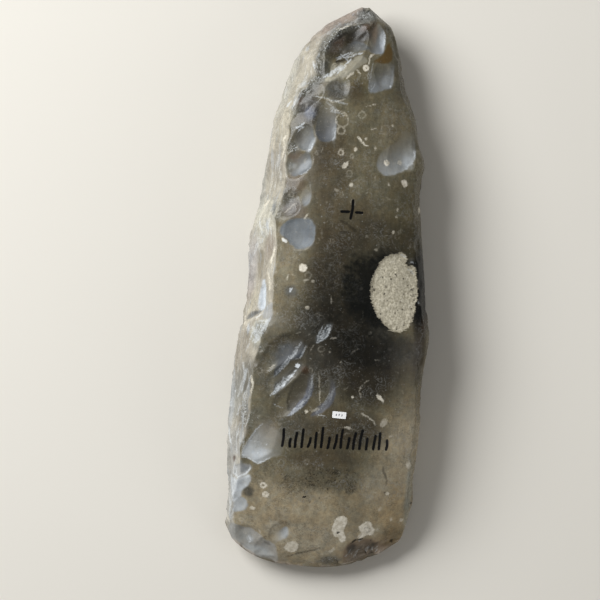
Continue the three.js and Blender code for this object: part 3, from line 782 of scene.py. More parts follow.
# Fossils and other pale marks. Discs: x, y, radius across and along, turn, strength.
FOSSIL_DISCS = [
    (21.8, 38.5, 0.9, 1.3, 20, 0.9), (3, 36.5, 0.8, 0.8, 0, 0.6), (0.4, 43.2, 0.8, 1.4, -35, 0.6),
    (3.7, 49.2, 0.6, 0.6, 0, 0.8), (7, 53.2, 0.5, 0.6, 0, 0.6), (-11.8, 6, 1.4, 1.5, 0, 0.95),
    (9.5, 0.2, 0.6, 0.5, 0, 0.35), (13.5, 14.3, 0.6, 0.5, 0, 0.4), (13.7, -15.2, 0.5, 0.4, 0, 0.4),
    (-6.6, -44.7, 0.5, 0.6, 0, 0.9), (9.3, -38.3, 0.4, 0.4, 0, 0.9), (19, -38, 0.7, 1.6, 50, 0.85),
    (21, -46.8, 1, 1.7, -30, 0.4), (-8.2, -93.3, 2.4, 2, 15, 0.75), (-23, -80.5, 0.9, 0.6, 0, 0.7),
    (24.2, -71.8, 0.6, 0.6, 0, 0.8), (26.4, -80.7, 0.6, 0.6, 0, 0.6), (30, -80.7, 0.7, 0.5, 40, 0.6),
    (31, -61.2, 0.8, 1.2, 0, 0.5), (20.2, 29, 0.4, 0.5, 0, 0.5), (20, 26.5, 0.3, 0.5, 0, 0.5),
    (19.2, 21, 0.5, 0.8, -30, 0.6), (30.3, -3.8, 0.5, 0.5, 0, 0.5), (6.3, -93.4, 0.6, 1.3, -40, 0.5),
    (16.3, 37.6, 0.4, 0.7, 20, 0.4), (10.6, 50, 0.5, 0.6, 0, 0.4), (16, 58.5, 0.4, 0.4, 0, 0.5),
    (22, -77.5, 0.5, 0.9, -30, 0.3), (21.8, -85, 0.8, 0.6, 0, 0.35), (8.5, -49.4, 1.5, 0.4, -10, 0.5),
    (-3.5, -43.8, 1.5, 0.5, 25, 0.3), (27.9, 29.6, 0.4, 1.2, 0, 0.8), (-8, 1.4, 0.7, 0.5, 0, 0.45),
    (-10.4, 1.6, 1, 0.4, 20, 0.35), (-2, 34.2, 0.8, 0.5, 0, 0.2), (4.2, -26.2, 0.4, 0.4, 0, 0.4),
    (0, -23, 0.4, 0.4, 0, 0.3),
]
# Rings: x, y, middle radius, half width, strength.
FOSSIL_RINGS = [
    (15.1, 45.3, 0.7, 0.35, 1), (19.8, 45.8, 0.6, 0.3, 0.6), (-1.6, 47.6, 0.9, 0.25, 0.45),
    (5.1, 78.2, 0.65, 0.45, 0.85), (-9.2, -8, 0.45, 0.3, 0.5), (-19.8, -72, 0.85, 0.35, 0.8),
    (-18.8, -75.2, 0.75, 0.4, 0.8), (2.6, 46.6, 0.6, 0.25, 0.2), (-2, 55.5, 1.4, 0.3, 0.3),
    (-2, 59, 2.2, 0.2, 0.3), (5, 61.5, 1.2, 0.25, 0.2), (13.5, 57, 1.6, 0.2, 0.15),
]
# Worm-like marks: half width, strength, then the places they run through.
FOSSIL_WORMS = [
    (0.28, 0.85, (4, 54), (5.3, 52.2), (6.6, 51), (8, 50.7)),
    (0.2, 0.5, (5.5, 64.6), (7.4, 64.9), (9.6, 65.8)), (0.2, 0.4, (8.4, 56.4), (10.5, 57.4)),
    (0.3, 0.6, (7.6, 83.6), (6.2, 82), (5.8, 79.4)), (0.18, 0.7, (-17, 3), (-14, 3.1)),
    (0.15, 0.5, (-16.8, 3), (-17, 1.4)), (0.2, 0.4, (-0.8, -3), (-0.9, -6)),
    (0.3, 0.6, (-0.4, -18.3), (2, -18.1)), (0.22, 0.45, (12, -34), (11.6, -36), (12.2, -38.2)),
    (0.3, 0.5, (12.6, -43.6), (15, -45), (17, -46), (18.6, -48)), (0.25, 0.4, (24.6, -50.6), (23.2, -52)),
    (0.2, 0.3, (15.6, 33), (17.4, 32.4)), (0.5, 0.6, (15, -88), (16.4, -87)),
    (0.18, 0.35, (16, -24.6), (18.4, -24.8)), (0.2, 0.35, (10, -21), (7.6, -23)),
    (0.15, 0.3, (14.8, -31.8), (12.8, -33)), (0.3, 0.5, (3.4, 76), (1.8, 77.6)),
    (0.35, 0.6, (-1.4, 74), (1, 76.6)), (0.3, 0.85, (-7, 91.1), (-4.5, 91.8), (-3, 92.6), (-1.4, 93)),
    (0.25, 0.35, (-9.6, 66.6), (-5.4, 65.2), (-1, 66.8)), (0.2, 0.4, (-5, 62.4), (-2, 62), (0.4, 60.8)),
    (0.2, 0.3, (-20.4, 24.3), (-18.7, 26), (-15.8, 28.6)), (0.3, 0.5, (-12.7, 23.2), (-11, 25)),
    (0.5, 0.95, (-20, 16), (-18.2, 14.5)), (0.4, 0.7, (-22.4, 50.5), (-21.2, 52.2)),
    (0.25, 0.6, (-21.9, 51), (-21.5, 47), (-22.3, 43.5)), (0.3, 0.8, (-27.2, 26.8), (-25.4, 29)),
    (0.4, 0.8, (-22.4, 13), (-22.3, 11), (-23, 8), (-23.2, 6.5)),
    (0.3, 0.6, (-24.2, 4.5), (-23.2, 1), (-22.6, -4)), (0.3, 0.7, (-31, -12), (-30.8, -16)),
    (0.3, 0.7, (-26.9, -13.5), (-25.4, -11.4)), (0.35, 0.6, (-27.2, -33), (-26.2, -36.5), (-26.7, -40)),
    (0.22, 0.5, (-19, -29), (-21, -30.3)), (0.25, 0.5, (-20, -88), (-19.3, -89.8)),
    (0.3, 0.6, (-32.2, -82.6), (-31, -86)), (0.2, 0.4, (-3.4, -30), (-2.6, -36), (-2, -42)),
]
# Two large pale blobs near the cutting edge.
FOSSIL_BLOBS = [
    [
        (6.2, -83), (8.2, -80.9), (10.2, -81.2), (10.9, -83), (10, -85), (10.2, -87), (10.8, -89.2),
        (9.4, -90.2), (8.2, -88.6), (6.4, -88), (5.7, -85.6),
    ],
    [
        (15, -84.6), (16.2, -83.4), (17.6, -82.3), (19.2, -82.4), (19.8, -83.8), (20.7, -85.2), (19.9, -86.8),
        (18, -87.2), (16.2, -88.4), (15.2, -88.6), (16.1, -87), (15.8, -85.8),
    ],
]
# Glassy pale edges with painted highlights on them: half width, strength, then the places they run through.
GLINTS = [
    (0.22, 0.64, (10.2, 92.6), (11.2, 89.6), (11.1, 87)), (0.3, 0.64, (14, 72.4), (14.8, 72.5)),
    (0.19, 0.48, (-5.6, 80.9), (-2.5, 82.4), (-0.4, 83.5)), (0.19, 0.4, (-4.5, 82.8), (-1, 80.2)),
    (0.26, 0.56, (-0.4, 81), (-2, 79.2)), (0.26, 0.48, (1.9, 83), (3.7, 83.5)),
    (0.3, 0.5, (22.4, 13.4), (24.5, 12.3)), (0.22, 0.5, (25.8, 10.4), (27, 11), (28, 10.6)),
    (0.22, 0.45, (25.2, 8.4), (26.8, 7.6), (27.8, 6.6)), (0.2, 0.5, (29.9, -3), (30.2, -3.8)),
    (0.22, 0.72, (-14, 79.6), (-13.3, 77.6), (-12.9, 75.8)), (0.15, 0.48, (-18.6, 70.8), (-18.4, 69.5)),
    (0.26, 0.68, (-20.4, 64.9), (-21.3, 63.2), (-22, 62.2)),
    (0.19, 0.56, (-19.3, 65), (-19.5, 63.2), (-20, 61.5)),
    (0.3, 0.76, (-15.1, 57.2), (-16.4, 55.8), (-18.2, 54.9)),
    (0.19, 0.56, (-14.4, 55.9), (-16.6, 55), (-17.4, 53.4)),
    (0.22, 0.68, (-11.5, 50.4), (-11.9, 48.6), (-13.2, 47.3)),
    (0.19, 0.4, (-11.9, 41.4), (-13.2, 39.5), (-16, 38.4)),
    (0.19, 0.48, (-4, 56), (-4.2, 52.4), (-5.4, 51.2)),
    (0.22, 0.56, (-28.3, 22.8), (-28.2, 20), (-27.2, 17.6)),
    (0.22, 0.56, (-25, 23), (-25.2, 20), (-24.8, 17.5)), (0.19, 0.48, (-24.3, 19.5), (-23.6, 17)),
    (0.22, 0.48, (-25, 0.6), (-25.2, -4), (-25, -8.6)), (0.3, 0.72, (-23.3, -13.6), (-23.2, -15.8)),
    (0.26, 0.72, (-25.2, -20), (-26.6, -22)), (0.22, 0.56, (-29, -15.8), (-28.6, -18.5)),
    (0.15, 0.4, (-28.7, -22), (-29, -24.5)), (0.26, 0.48, (-29.6, -31), (-29.5, -35), (-30.2, -40)),
    (0.26, 0.64, (-32.6, -38.9), (-32.1, -40)), (0.22, 0.56, (-33.6, -42), (-33.5, -45.5)),
    (0.3, 0.68, (-33.9, -52), (-33.3, -55), (-32.4, -58.6)), (0.19, 0.48, (-30.8, -58.5), (-30, -61.8)),
    (0.19, 0.48, (-21.5, -49.8), (-24.6, -53.4), (-26.8, -57), (-28, -60)),
    (0.22, 0.64, (-28.3, -62.4), (-26, -62.7), (-24.3, -63.5), (-22.5, -64.3), (-20.5, -63.5), (-18, -62)),
    (0.15, 0.32, (-26.5, -56.3), (-22.5, -57)),
    (0.21, 0.6, (-31, -68), (-29.3, -69.8), (-27.3, -69), (-25.2, -66.8), (-25, -65.4)),
    (0.22, 0.64, (-31.2, -71), (-30.6, -74), (-30.1, -78.5)), (0.22, 0.48, (-28.7, -77), (-30, -79)),
    (0.19, 0.56, (-23.6, -90.4), (-22.9, -92), (-24, -93.8)), (0.22, 0.4, (-30.2, -84.2), (-29.6, -84.6)),
    (0.26, 0.64, (24.2, 50.8), (24.9, 49), (24.5, 47.4)),
    (0.19, 0.36, (24.8, 47), (22.5, 44.2), (20.5, 42.6)),
    (0.22, 0.4, (-18.4, -32.4), (-15.5, -29.5), (-13.6, -26.6), (-11.6, -23.6), (-10.4, -20.3)),
    (0.22, 0.32, (-12, -26.3), (-10.3, -26), (-9, -22.6), (-8.4, -21)),
    (0.26, 0.56, (-12, -31), (-16.5, -36.8)), (0.19, 0.32, (-18.9, -39.3), (-16.5, -37.4)),
    (0.19, 0.48, (-18.5, -42.8), (-16.5, -43.8), (-14.8, -44)),
    (0.3, 0.4, (-7.8, -42.5), (-10, -44.6), (-13.2, -46.8)),
    (0.26, 0.24, (-5.2, -33), (-5.6, -37), (-7.2, -41)),
    (0.22, 0.44, (-0.3, -13.4), (-1, -17), (-2.8, -19.1), (-4.9, -20.3)),
    (0.22, 0.16, (2.6, -36), (1.4, -40.5)), (0.4, 0.7, (-22.8, -60.9), (-22.6, -60.7)),
    (0.35, 0.6, (-20, -57.6), (-19.8, -57.4)), (0.35, 0.5, (-19.8, -53.4), (-19.5, -53.2)),
    (0.5, 0.6, (-19.8, 15.8), (-18.3, 14.6)), (0.25, 0.55, (-27.4, -13.2), (-24.2, -11)),
    (0.2, 0.5, (-26.4, -14.2), (-23, -13.2)), (0.22, 0.55, (-28.2, -15.6), (-26.4, -19.8)),
    (0.22, 0.5, (-26.2, -16.6), (-25.2, -21)), (0.18, 0.5, (-29.6, -14.6), (-29.8, -19)),
    (0.2, 0.5, (-24.4, -15), (-24, -18.4)), (0.19, 0.45, (-5, -19), (-4.2, -16.4), (-3, -13.8)),
    (0.19, 0.4, (-2.8, -45.6), (0.2, -45.8)), (0.2, 0.4, (-9, -43), (-12.4, -45.9)),
    (0.19, 0.56, (15.2, -89.5), (16.8, -89.1)), (0.7, 0.9, (-11.8, -28.9), (-10.2, -28.3)),
    (0.45, 0.85, (-13.3, -33), (-12.2, -31.9)), (0.4, 0.8, (-15.9, -36.3), (-14.8, -35.3)),
    (0.35, 0.7, (-15.9, -3.4), (-15.2, -2.4), (-15, -1.4)), (0.3, 0.6, (-15.8, -1.6), (-15.4, -2.6)),
]
# Bundles of short streaks: from, to, count, heading, length, spread, half width, strength and seed.
# The bright bundles are painted highlights on glassy streaks.
GLINT_BUNDLES = [
    ((-18.6, -38.8), (-11.6, -30.8), 20, 50, 3, 0.9, 0.16, 0.6, 300),
    ((-18, -36.4), (-14.6, -33.2), 9, 62, 2, 1, 0.13, 0.35, 400),
    ((-18.6, -32.6), (-10.6, -21.4), 16, 54, 3.6, 1.1, 0.15, 0.3, 500),
    ((-12.6, -46), (-6.4, -40), 14, 48, 3, 1, 0.16, 0.4, 600),
    ((-6.6, -40), (-5.2, -32), 9, 80, 3, 1, 0.15, 0.22, 700),
    ((-4.4, -19), (-0.6, -14), 10, 62, 2.2, 1.6, 0.14, 0.4, 800),
    ((-2.4, -44.4), (2.4, -36), 9, 58, 3.4, 1.4, 0.16, 0.2, 900),
    ((-7.8, 75), (-3.4, 77.8), 16, 42, 3.6, 2.4, 0.2, 0.6, 1000),
    ((-5, 80.6), (1, 82.6), 9, 30, 3, 1.4, 0.16, 0.45, 1100),
    ((-26.8, -20), (-23.6, -13.6), 14, 68, 3.6, 3, 0.2, 0.5, 1200),
    ((-6, 64), (-3.4, 61), 9, -30, 3, 3, 0.14, 0.28, 1300),
    ((-10, 66.6), (-1, 65.2), 9, -6, 3, 1.6, 0.16, 0.35, 1400),
    ((-29.5, -30), (-29, -60), 20, 88, 5, 4, 0.18, 0.4, 1500),
    ((-25, 22), (-28, 12), 12, 84, 4, 3, 0.18, 0.4, 1600),
    ((-31, -66), (-31, -84), 12, 88, 4, 2, 0.18, 0.4, 1700),
    ((-20, 62), (-15, 74), 9, 66, 4, 3, 0.16, 0.35, 1800),
    ((6.4, 78), (8, 71), 7, 82, 4, 1.6, 0.14, 0.25, 1900),
    ((12, -95), (23, -91.6), 16, 62, 2.4, 3, 0.14, 0.35, 2000),
    ((-23, 45), (-25, 30), 10, 88, 4, 4, 0.16, 0.3, 2100),
    ((-12, 88), (2, 96), 10, 34, 4, 2, 0.16, 0.2, 2200),
]
DARK_BUNDLES = [
    ((12, -93), (22, -90.6), 12, 58, 2.6, 3.4, 0.2, 0.35, 3000),
    ((-17.6, -36), (-11, -29), 9, 52, 3, 1.6, 0.14, 0.5, 3100),
    ((-29.5, -28), (-29.5, -62), 18, 90, 4, 5, 0.16, 0.3, 3200),
    ((-26, 24), (-29, -8), 8, 90, 5, 5, 0.14, 0.2, 3300),
    ((-6, 78.6), (2, 83.4), 9, 32, 3.4, 2, 0.2, 0.5, 3400),
    ((-4, -22), (4, -44), 22, 92, 4, 8, 0.16, 0.35, 3500),
    ((-8, 90), (2, 93.6), 12, 60, 1.4, 2, 0.2, 0.4, 3600),
    ((-10.6, 80), (-11.4, 73), 8, 84, 2.4, 1.6, 0.2, 0.5, 3700),
    ((-31, -64), (-30.6, -86), 10, 88, 4, 2.4, 0.14, 0.3, 3800),
    ((-20, -80), (20, -76), 16, 90, 3, 26, 0.14, 0.14, 3900),
]
# Dark marks: half width, strength, then the places they run through.
DARK_MARKS = [
    (0.22, 0.6, (-10, -97), (-6, -95.4), (-1, -94), (3, -92.6)),
    (0.4, 0.55, (21.8, -61.6), (22.3, -64), (23.8, -67), (23.5, -68.8)),
    (0.35, 0.6, (23.1, -71.1), (23.4, -71.5)), (0.95, 1, (-5.2, -74.9), (-5, -75.2)),
    (0.45, 0.9, (7.5, -87.2), (8.5, -86.3)), (0.5, 1, (13.6, 0.5), (14.4, 0)),
    (0.8, 0.7, (21, -26.4), (21.4, -27.6)), (0.35, 0.9, (12.8, -90.5), (14.5, -89), (17, -88.4)),
    (0.45, 0.8, (26.6, -89), (27.8, -88.2)), (0.45, 0.8, (19.6, -88.8), (20, -89)),
    (0.4, 0.7, (-6, 79.5), (-2.2, 80.6), (-1.6, 82)), (0.5, 0.5, (-6.2, -65.2), (-6, -65.3)),
    (0.5, 0.5, (-4, -65.5), (-3.8, -65.6)), (0.45, 0.6, (-2.9, -76.4), (-2.7, -76.6)),
    (0.4, 0.6, (0.2, -75), (0.5, -75.1)), (0.35, 0.6, (-11, -74.2), (-10.7, -74.1)),
    (0.35, 0.6, (-8, -74.6), (-7.8, -74.7)), (0.35, 0.5, (-11, -71.9), (-10.5, -72)),
    # The long dark mark from (0, 92.3) to (-7, 86.5) is painted shade under the butt's crest.
    (0.35, 0.6, (-8.9, -71.6), (-8.5, -71.8)), (0.4, 0.6, (0, 92.3), (-4, 89.3), (-7, 86.5)),
    (0.3, 0.5, (28.2, 41), (27.6, 34.5)), (0.35, 0.8, (32.6, -74.6), (33.6, -74.2)),
    (0.3, 0.5, (4.8, -83.4), (5, -83.8)),
    (0.3, 0.35, (17, -85.4), (17.6, -84.4), (18.7, -84.6), (19.1, -85.5), (18.2, -86.3), (17, -85.4)),
    (0.35, 0.4, (-12.2, 6.3), (-11.7, 6)), (0.15, 0.4, (-22, -19.2), (-18, -19), (-14.5, -18.4)),
    (0.3, 0.8, (21.4, 5.8), (21.7, 5.7)), (0.5, 0.5, (17.8, 1.8), (18.8, 1.4)),
    (0.25, 0.8, (19.2, -5), (19.4, -5.1)), (0.3, 0.8, (22, -7.2), (22.3, -7.4)),
    (0.3, 0.6, (25.4, -11.2), (25.8, -12)), (0.3, 0.7, (28.2, -8), (28.9, -9)),
    (0.25, 0.8, (26.4, 7.4), (27.6, 7)), (0.3, 0.8, (26.6, 0.8), (28.4, 1.6)),
    (0.25, 0.8, (27.4, -1), (29, -0.6)), (0.35, 0.7, (-6, 81), (-3, 82), (-1, 82.6)),
    (0.3, 0.6, (-5.4, 79.8), (-3, 80.4)),
]
# Faint marks all over: how many, and the span they are scattered over.
FAINT_MARKS = 190
FAINT_SPAN_X, FAINT_SPAN_Y = 58, 190
BLOB_STRENGTH = 0.95
# A patch with a heading starts at this share of its strength.
PATCH_FLOOR = 0.1

# ---- Pen marks: strokes that are no letters ----

PEN_HALF_WIDTH = 0.5
FAINT_PEN = 0.35
ROW_LEFT, ROW_RIGHT, ROW_BASE_LEFT, ROW_BASE_RIGHT = -14, 22.5, -57.5, -56
ROW_HEIGHT, ROW_STROKES = 6.6, 17
PEN_MARKS = [
    (1, (4.1, 31), (4.2, 28), (3.7, 24.6)), (1, (0.3, 26.8), (2.9, 26.9)), (1, (5.5, 26.9), (7.6, 26.9)),
    (FAINT_PEN, (0.4, 23.4), (2.6, 22.6)), (FAINT_PEN, (3.2, 22), (5.8, 20.4)),
    (FAINT_PEN, (0.6, 19.4), (3.2, 19.7)),
]


def pen_row():
    """A row of leaning strokes, tall and short by turns, none of them touching the next."""
    for i in range(ROW_STROKES):
        t = (i + 0.25 * uneven(i + 61)) / (ROW_STROKES - 1)
        x = ROW_LEFT + (ROW_RIGHT - ROW_LEFT) * t
        base = ROW_BASE_LEFT + (ROW_BASE_RIGHT - ROW_BASE_LEFT) * t + 0.5 * uneven(i + 71)
        height = ROW_HEIGHT * ((0.95, 0.5, 0.8)[i % 3] + 0.2 * uneven(i + 83))
        lean = 0.7 * uneven(i + 97) + 0.4
        bow = 0.5 * uneven(i + 101)
        yield 1, (x, base), (x + lean / 2 + bow, base + height / 2), (x + lean, base + height)


def pen_marks(plan):
    """The row of strokes, the cross and the faint strokes below it."""
    pen = Marks(plan, 0)
    for strength, *line in [*pen_row(), *PEN_MARKS]:
        pen.stroke(PEN_HALF_WIDTH, strength, *line)
    return pen


def bundle(start, end, count, heading, length, spread, half_width, strength, seed):
    """Short streaks along a way, all headed much the same."""
    for i in range(count):
        t = (i + 0.5 + 0.9 * uneven(seed + 4 * i)) / count
        x = start[0] + (end[0] - start[0]) * t + spread * uneven(seed + 4 * i + 1)
        y = start[1] + (end[1] - start[1]) * t + 0.5 * spread * uneven(seed + 4 * i + 2)
        turn = math.radians(heading + 24 * uneven(seed + 4 * i + 3))
        reach = length / 2 * (1 + 1.2 * uneven(seed + 4 * i + 5))
        u, v = reach * math.cos(turn), reach * math.sin(turn)
        yield half_width, strength, (x - u, y - v), (x + u, y + v)


def stroke_marks(plan, strokes, bundles=()):
    """Marks made of bundles of streaks and of single strokes."""
    marks = Marks(plan)
    for row in bundles:
        for mark in bundle(*row):
            marks.stroke(*mark)
    for mark in strokes:
        marks.stroke(*mark)
    return marks


def fossil_marks(plan):
    """Faint marks all over the stone, and the fossils that lie in set places."""
    marks = Marks(plan)
    for i in range(FAINT_MARKS):
        seed = 900 + 5 * i
        x, y = FAINT_SPAN_X * uneven(seed), FAINT_SPAN_Y * uneven(seed + 1)
        turn, size = math.radians(360 * uneven(seed + 2)), 1 + uneven(seed + 3)
        strength = 0.12 + 0.16 * uneven(seed + 4)
        if i % 5 == 0:
            marks.ring(x, y, 0.7 * size, 0.2, strength)
        else:
            u, v = size * math.cos(turn), size * math.sin(turn)
            bend = 0.5 * uneven(seed + 5)
            marks.stroke(0.16, strength, (x - u, y - v), (x - bend * v, y + bend * u), (x + u, y + v))
    for mark in FOSSIL_DISCS:
        marks.disc(*mark)
    for mark in FOSSIL_RINGS:
        marks.ring(*mark)
    for mark in FOSSIL_WORMS:
        marks.stroke(*mark)
    for outline in FOSSIL_BLOBS:
        marks.blob(outline, BLOB_STRENGTH)
    return marks


def painted(base, plan, dabs):
    """The base colour with each dab painted over the last."""
    colours = np.tile(rgb(base), (len(plan), 1))
    for *shape, strength, colour in dabs:
        cover = strength * dab(plan, *shape)[:, None]
        colours = colours * (1 - cover) + rgb(colour) * cover
    return colours


def patch_cover(plan, outline, heading):
    """The points near a patch, how far each is inside it, and how strongly it is coloured there."""
    line = closed_curve(outline)
    near = np.flatnonzero(((plan > line.min(0) - 1) & (plan < line.max(0) + 1)).all(1))
    depth = depth_inside(plan[near], line)
    if heading is None:
        return near, depth, np.ones(len(near))
    way = np.array([math.cos(math.radians(heading)), math.sin(math.radians(heading))])
    run, ends = plan[near] @ way, line @ way
    grown = ease((run - ends.min()) / (ends.max() - ends.min()), 0.1, 0.85)
    return near, depth, PATCH_FLOOR + (1 - PATCH_FLOOR) * grown


# ---- Building the stone ----

RIPPLE_LENGTH, RIPPLE_HEIGHT = 1.7, 0.012
# The edges of the scars wander: how far, and over what distance.
WANDERS = [(0.8, 5), (0.25, 1.8)]
# So do the borders of the colours.
PAINT_WANDER, PAINT_WANDER_SIZE = 0.25, 1.1
# Rows of small nicks: face, share, from, to, count, size, depth, seed.
NICK_ROWS = [
    ("left_side", 0.02, -88, 92, 34, 3.4, 0.4, 5), ("lower_left", 0.98, -86, 90, 26, 3.2, 0.35, 15),
    ("upper", 0.01, -84, 88, 28, 2.6, 0.2, 25), ("left_side", 0.97, -80, 90, 30, 4, 0.4, 35),
    ("right_side", 0.02, -84, 90, 34, 3.2, 0.4, 45), ("right_side", 0.5, -84, 92, 44, 2.8, 0.4, 55),
    ("right_side", 0.98, -84, 88, 26, 4, 0.45, 65), ("lower", 0.99, -84, 88, 26, 4, 0.45, 75),
]
NICK_ROUNDS = 2
NICK_STRETCH = 1.4
# Nicks of the cutting edge: how many, and their length, width and depth.
EDGE_NICKS = 34
EDGE_NICK_SIZE = (4, 2.6, 0.42)
# A chip out of the right side: its place, its ways along and out, then its length, width and depth.
RIGHT_CHIP = (34, -74.6, 14), (0, 1, 0), (1, 0, 0), 3, 9, 1.1
SCAR_TONE_SPREAD = 0.2
# The cutting edge's pale rim: strength, and where behind the edge it starts and stops fading.
RIM_STRENGTH, RIM_FADES_FROM, RIM_FADES_TO = 0.7, 0.2, 1
# Scars of the steep left side, by their place in the plan: x, y, heading, length, width, depth.
LEFT_SCARS = [
    (-24.9, -5, 91, 13, 3.4, 0.9), (-27.6, -12.6, 22, 8, 3.4, 0.9), (-26.5, -18, 70, 11, 6, 0.6),
    (-29.4, 5, 88, 34, 5, 0.5), (-25.5, 8, 93, 18, 3.4, 0.5), (-31.4, -34, 88, 16, 3, 0.5),
    (-28.2, -36, 92, 14, 3.6, 0.5), (-32.2, -49, 95, 15, 3.2, 0.6), (-29, -47, 88, 13, 3, 0.6),
    (-27.6, 21, 78, 13, 2.8, 0.5), (-25, 22, 82, 12, 2.6, 0.5), (-23.4, 26, 70, 8, 2.2, 0.6),
    (-24.4, 45, 88, 20, 5, 0.4), (-25.4, 33, 84, 14, 4, 0.4), (-23, 60, 78, 15, 4.6, 0.5),
    (-18, 76, 66, 18, 5, 0.5), (-13, 89, 42, 16, 4, 0.5), (-1, 96.5, 25, 12, 3, 0.4),
    (-29.6, -57, 75, 9, 4, 0.6), (-31, -66, 88, 9, 2.4, 0.5), (-31, -76, 86, 12, 2.4, 0.4),
    (-32, -24, 92, 12, 3.4, 0.4),
]


def left_bite(x, y, heading, *size):
    """A bite of the left side under a place in the plan, headed as seen from above."""
    station = float(station_at(x, y))
    section = section_of(station)
    left, ridge = section["outline_left"][0], section["ridge"][0]
    f = float(np.clip((x - left) / (ridge - left), 0, 1))
    _, _, out = surface_axes("left_side", f, station)
    turn = math.radians(heading)
    ahead = np.array([math.cos(turn), math.sin(turn), 0])
    ahead[2] = -(ahead @ out) / out[2]
    return Bite(form_point("left_side", f, station), unit(ahead), out, *size)


def small_nicks():
    """Nicks along the borders of the faces and the cutting edge, and the chip."""
    for face, share, start, end, count, size, depth, seed in NICK_ROWS:
        for i in range(count):
            t = (i + 0.5 + 0.9 * uneven(seed + 4 * i)) / count
            grown = 1 + 1.1 * uneven(seed + 4 * i + 1)
            heading = 90 + 80 * uneven(seed + 4 * i + 2)
            yield bite_on(
                face, share, start + (end - start) * t, heading,
                NICK_STRETCH * size * grown, size * grown, depth * grown,
            )
    for i in range(EDGE_NICKS):
        f = (i + 0.5 + 0.8 * uneven(200 + i)) / EDGE_NICKS
        grown = 1 + 1.2 * uneven(240 + i)
        size = [side * grown for side in EDGE_NICK_SIZE]
        yield bite_on("upper", f, EDGE_Y + EDGE_THICKNESS / 2, 90 * uneven(280 + i), *size)
    place, ahead, out, *size = RIGHT_CHIP
    yield Bite(np.array(place), np.array(ahead), np.array(out), *size)


def ripple(points, inward, owner, bites):
    """Rings of low waves that spread from where each flake was struck off."""
    for number, bite in enumerate(bites):
        mine = owner == number
        along_scar = (points[mine] - bite.place) @ bite.axes[0] + bite.length / 2
        beside = (points[mine] - bite.place) @ bite.axes[1]
        away = np.hypot(along_scar, beside)
        wave = np.sin(2 * np.pi * (away / RIPPLE_LENGTH + 0.6 * uneven(number + 7)))
        fade = ease(away, 0.15 * bite.length, 0.5 * bite.length)
        points[mine] -= inward[mine] * (RIPPLE_HEIGHT * wave * fade)[:, None]


def left_share(points, face, share, section):
    """1 on the steep left side and 0 on the broad faces, with a wandering border at the left ridge."""
    left_length = np.hypot(*(np.subtract(section["ridge"], section["outline_left"])))
    lower_width = section["lower_right"][0] - section["lower_left"][0]
    upper_width = section["shoulder"][0] - section["ridge"][0]
    beyond = np.full(face.shape, -30.0)
    for name, distance in {
        "left_side": (1 - share) * left_length,
        "upper": -share * upper_width,
        "lower": -(1 - share) * lower_width,
        "lower_left": 3 + 0 * share,
    }.items():
        beyond = np.where(face == FACE_NAMES.index(name), distance, beyond)
    flat = points.reshape(-1, 3)
    wander = 0.7 * noise(flat / (1, 2.5, 1), 1.6, 5) + 0.35 * noise(flat, 0.8, 6)
    return ease(beyond.ravel() + wander, -0.5, 0.6)


def scar_tones(owner, bites):
    """A slight difference in tone from scar to scar."""
    tones = np.array([1 + SCAR_TONE_SPREAD * uneven(number + 3) for number in range(len(bites))] + [1])
    return tones[owner.ravel()]


def scar_wander(flat, ways):
    """How far from its place each point feels the bites, along the surface."""
    wander = sum(
        reach * np.stack([noise(flat, size, 20 + axis) for axis in range(3)], -1) for reach, size in WANDERS
    )
    return wander - (wander * ways).sum(-1, keepdims=True) * ways


def knapped_form():
    """The points with every scar and nick, which of them are seen from above, their share of the left
    side, and the tones of their scars."""
    points, inward, face, share, section = smooth_form()
    wander = scar_wander(points.reshape(-1, 3), inward.reshape(-1, 3))
    bites = [upper_bite(*scar) for scar in UPPER_SCARS] + [left_bite(*scar) for scar in LEFT_SCARS]
    bites += [bite for row in SCAR_ROWS for bite in row_bites(*row)]
    owner = knap(points, inward, bites, BITE_ROUNDS, wander)
    ripple(points, inward, owner, bites)
    knap(points, inward, list(small_nicks()), NICK_ROUNDS, wander)
    seen = np.isin(face, [FACE_NAMES.index(name) for name in ("left_side", "upper")])
    seen |= (face == FACE_NAMES.index("right_side")) & (share < 0.5)
    return points, seen.ravel(), left_share(points, face, share, section), scar_tones(owner, bites)


def paint_patches(colours, plan, seen):
    """Paints the patches over the colours. Returns the lift of their steps and how satiny they are."""
    lift, satin = np.zeros(len(plan)), np.zeros(len(plan))
    for colour, strength, step, heading, outline in PATCHES:
        near, depth, grown = patch_cover(plan, outline, heading)
        # The bluish and pale patches in the scars are partly painted reflection.
        cover = strength * grown * ease(depth, -0.3, 0.35) * seen[near]
        colours[near] += (rgb(colour) - colours[near]) * cover[:, None]
        satin[near] = np.maximum(satin[near], ease(depth, -1, 0.5))
        lift[near] -= step * grown * ease(depth, 0, 0.8)
    return lift, satin


def stone_colours(flat, plan, seen, on_side, tones):
    """The paint of every point, with the lift and the satin of the patches."""
    # Among the dabs are painted shade in the butt's hollow, painted light by the cutting edge and a painted
    # reflection.
    colours = painted(ASH, plan, UPPER_DABS)
    colours += (painted(SHELL, plan, SIDE_DABS) - colours) * on_side[:, None]
    colours *= tones[:, None]
    lift, satin = paint_patches(colours, plan, seen)
    # Gleams: painted highlights and painted shade, with a few spots of the stone's own colour.
    for *shape, strength, colour in GLEAMS:
        colours += (rgb(colour) - colours) * (strength * seen * dab(plan, *shape))[:, None]
    behind_edge = station_at(plan[:, 0], plan[:, 1]) - EDGE_Y + 0.5 * noise(flat, 2.5, 12)
    rim = 1 - ease(behind_edge, RIM_FADES_FROM, RIM_FADES_TO)
    colours += (rgb(EDGE_PALE) - colours) * (RIM_STRENGTH * seen * rim)[:, None]
    return colours, lift, satin


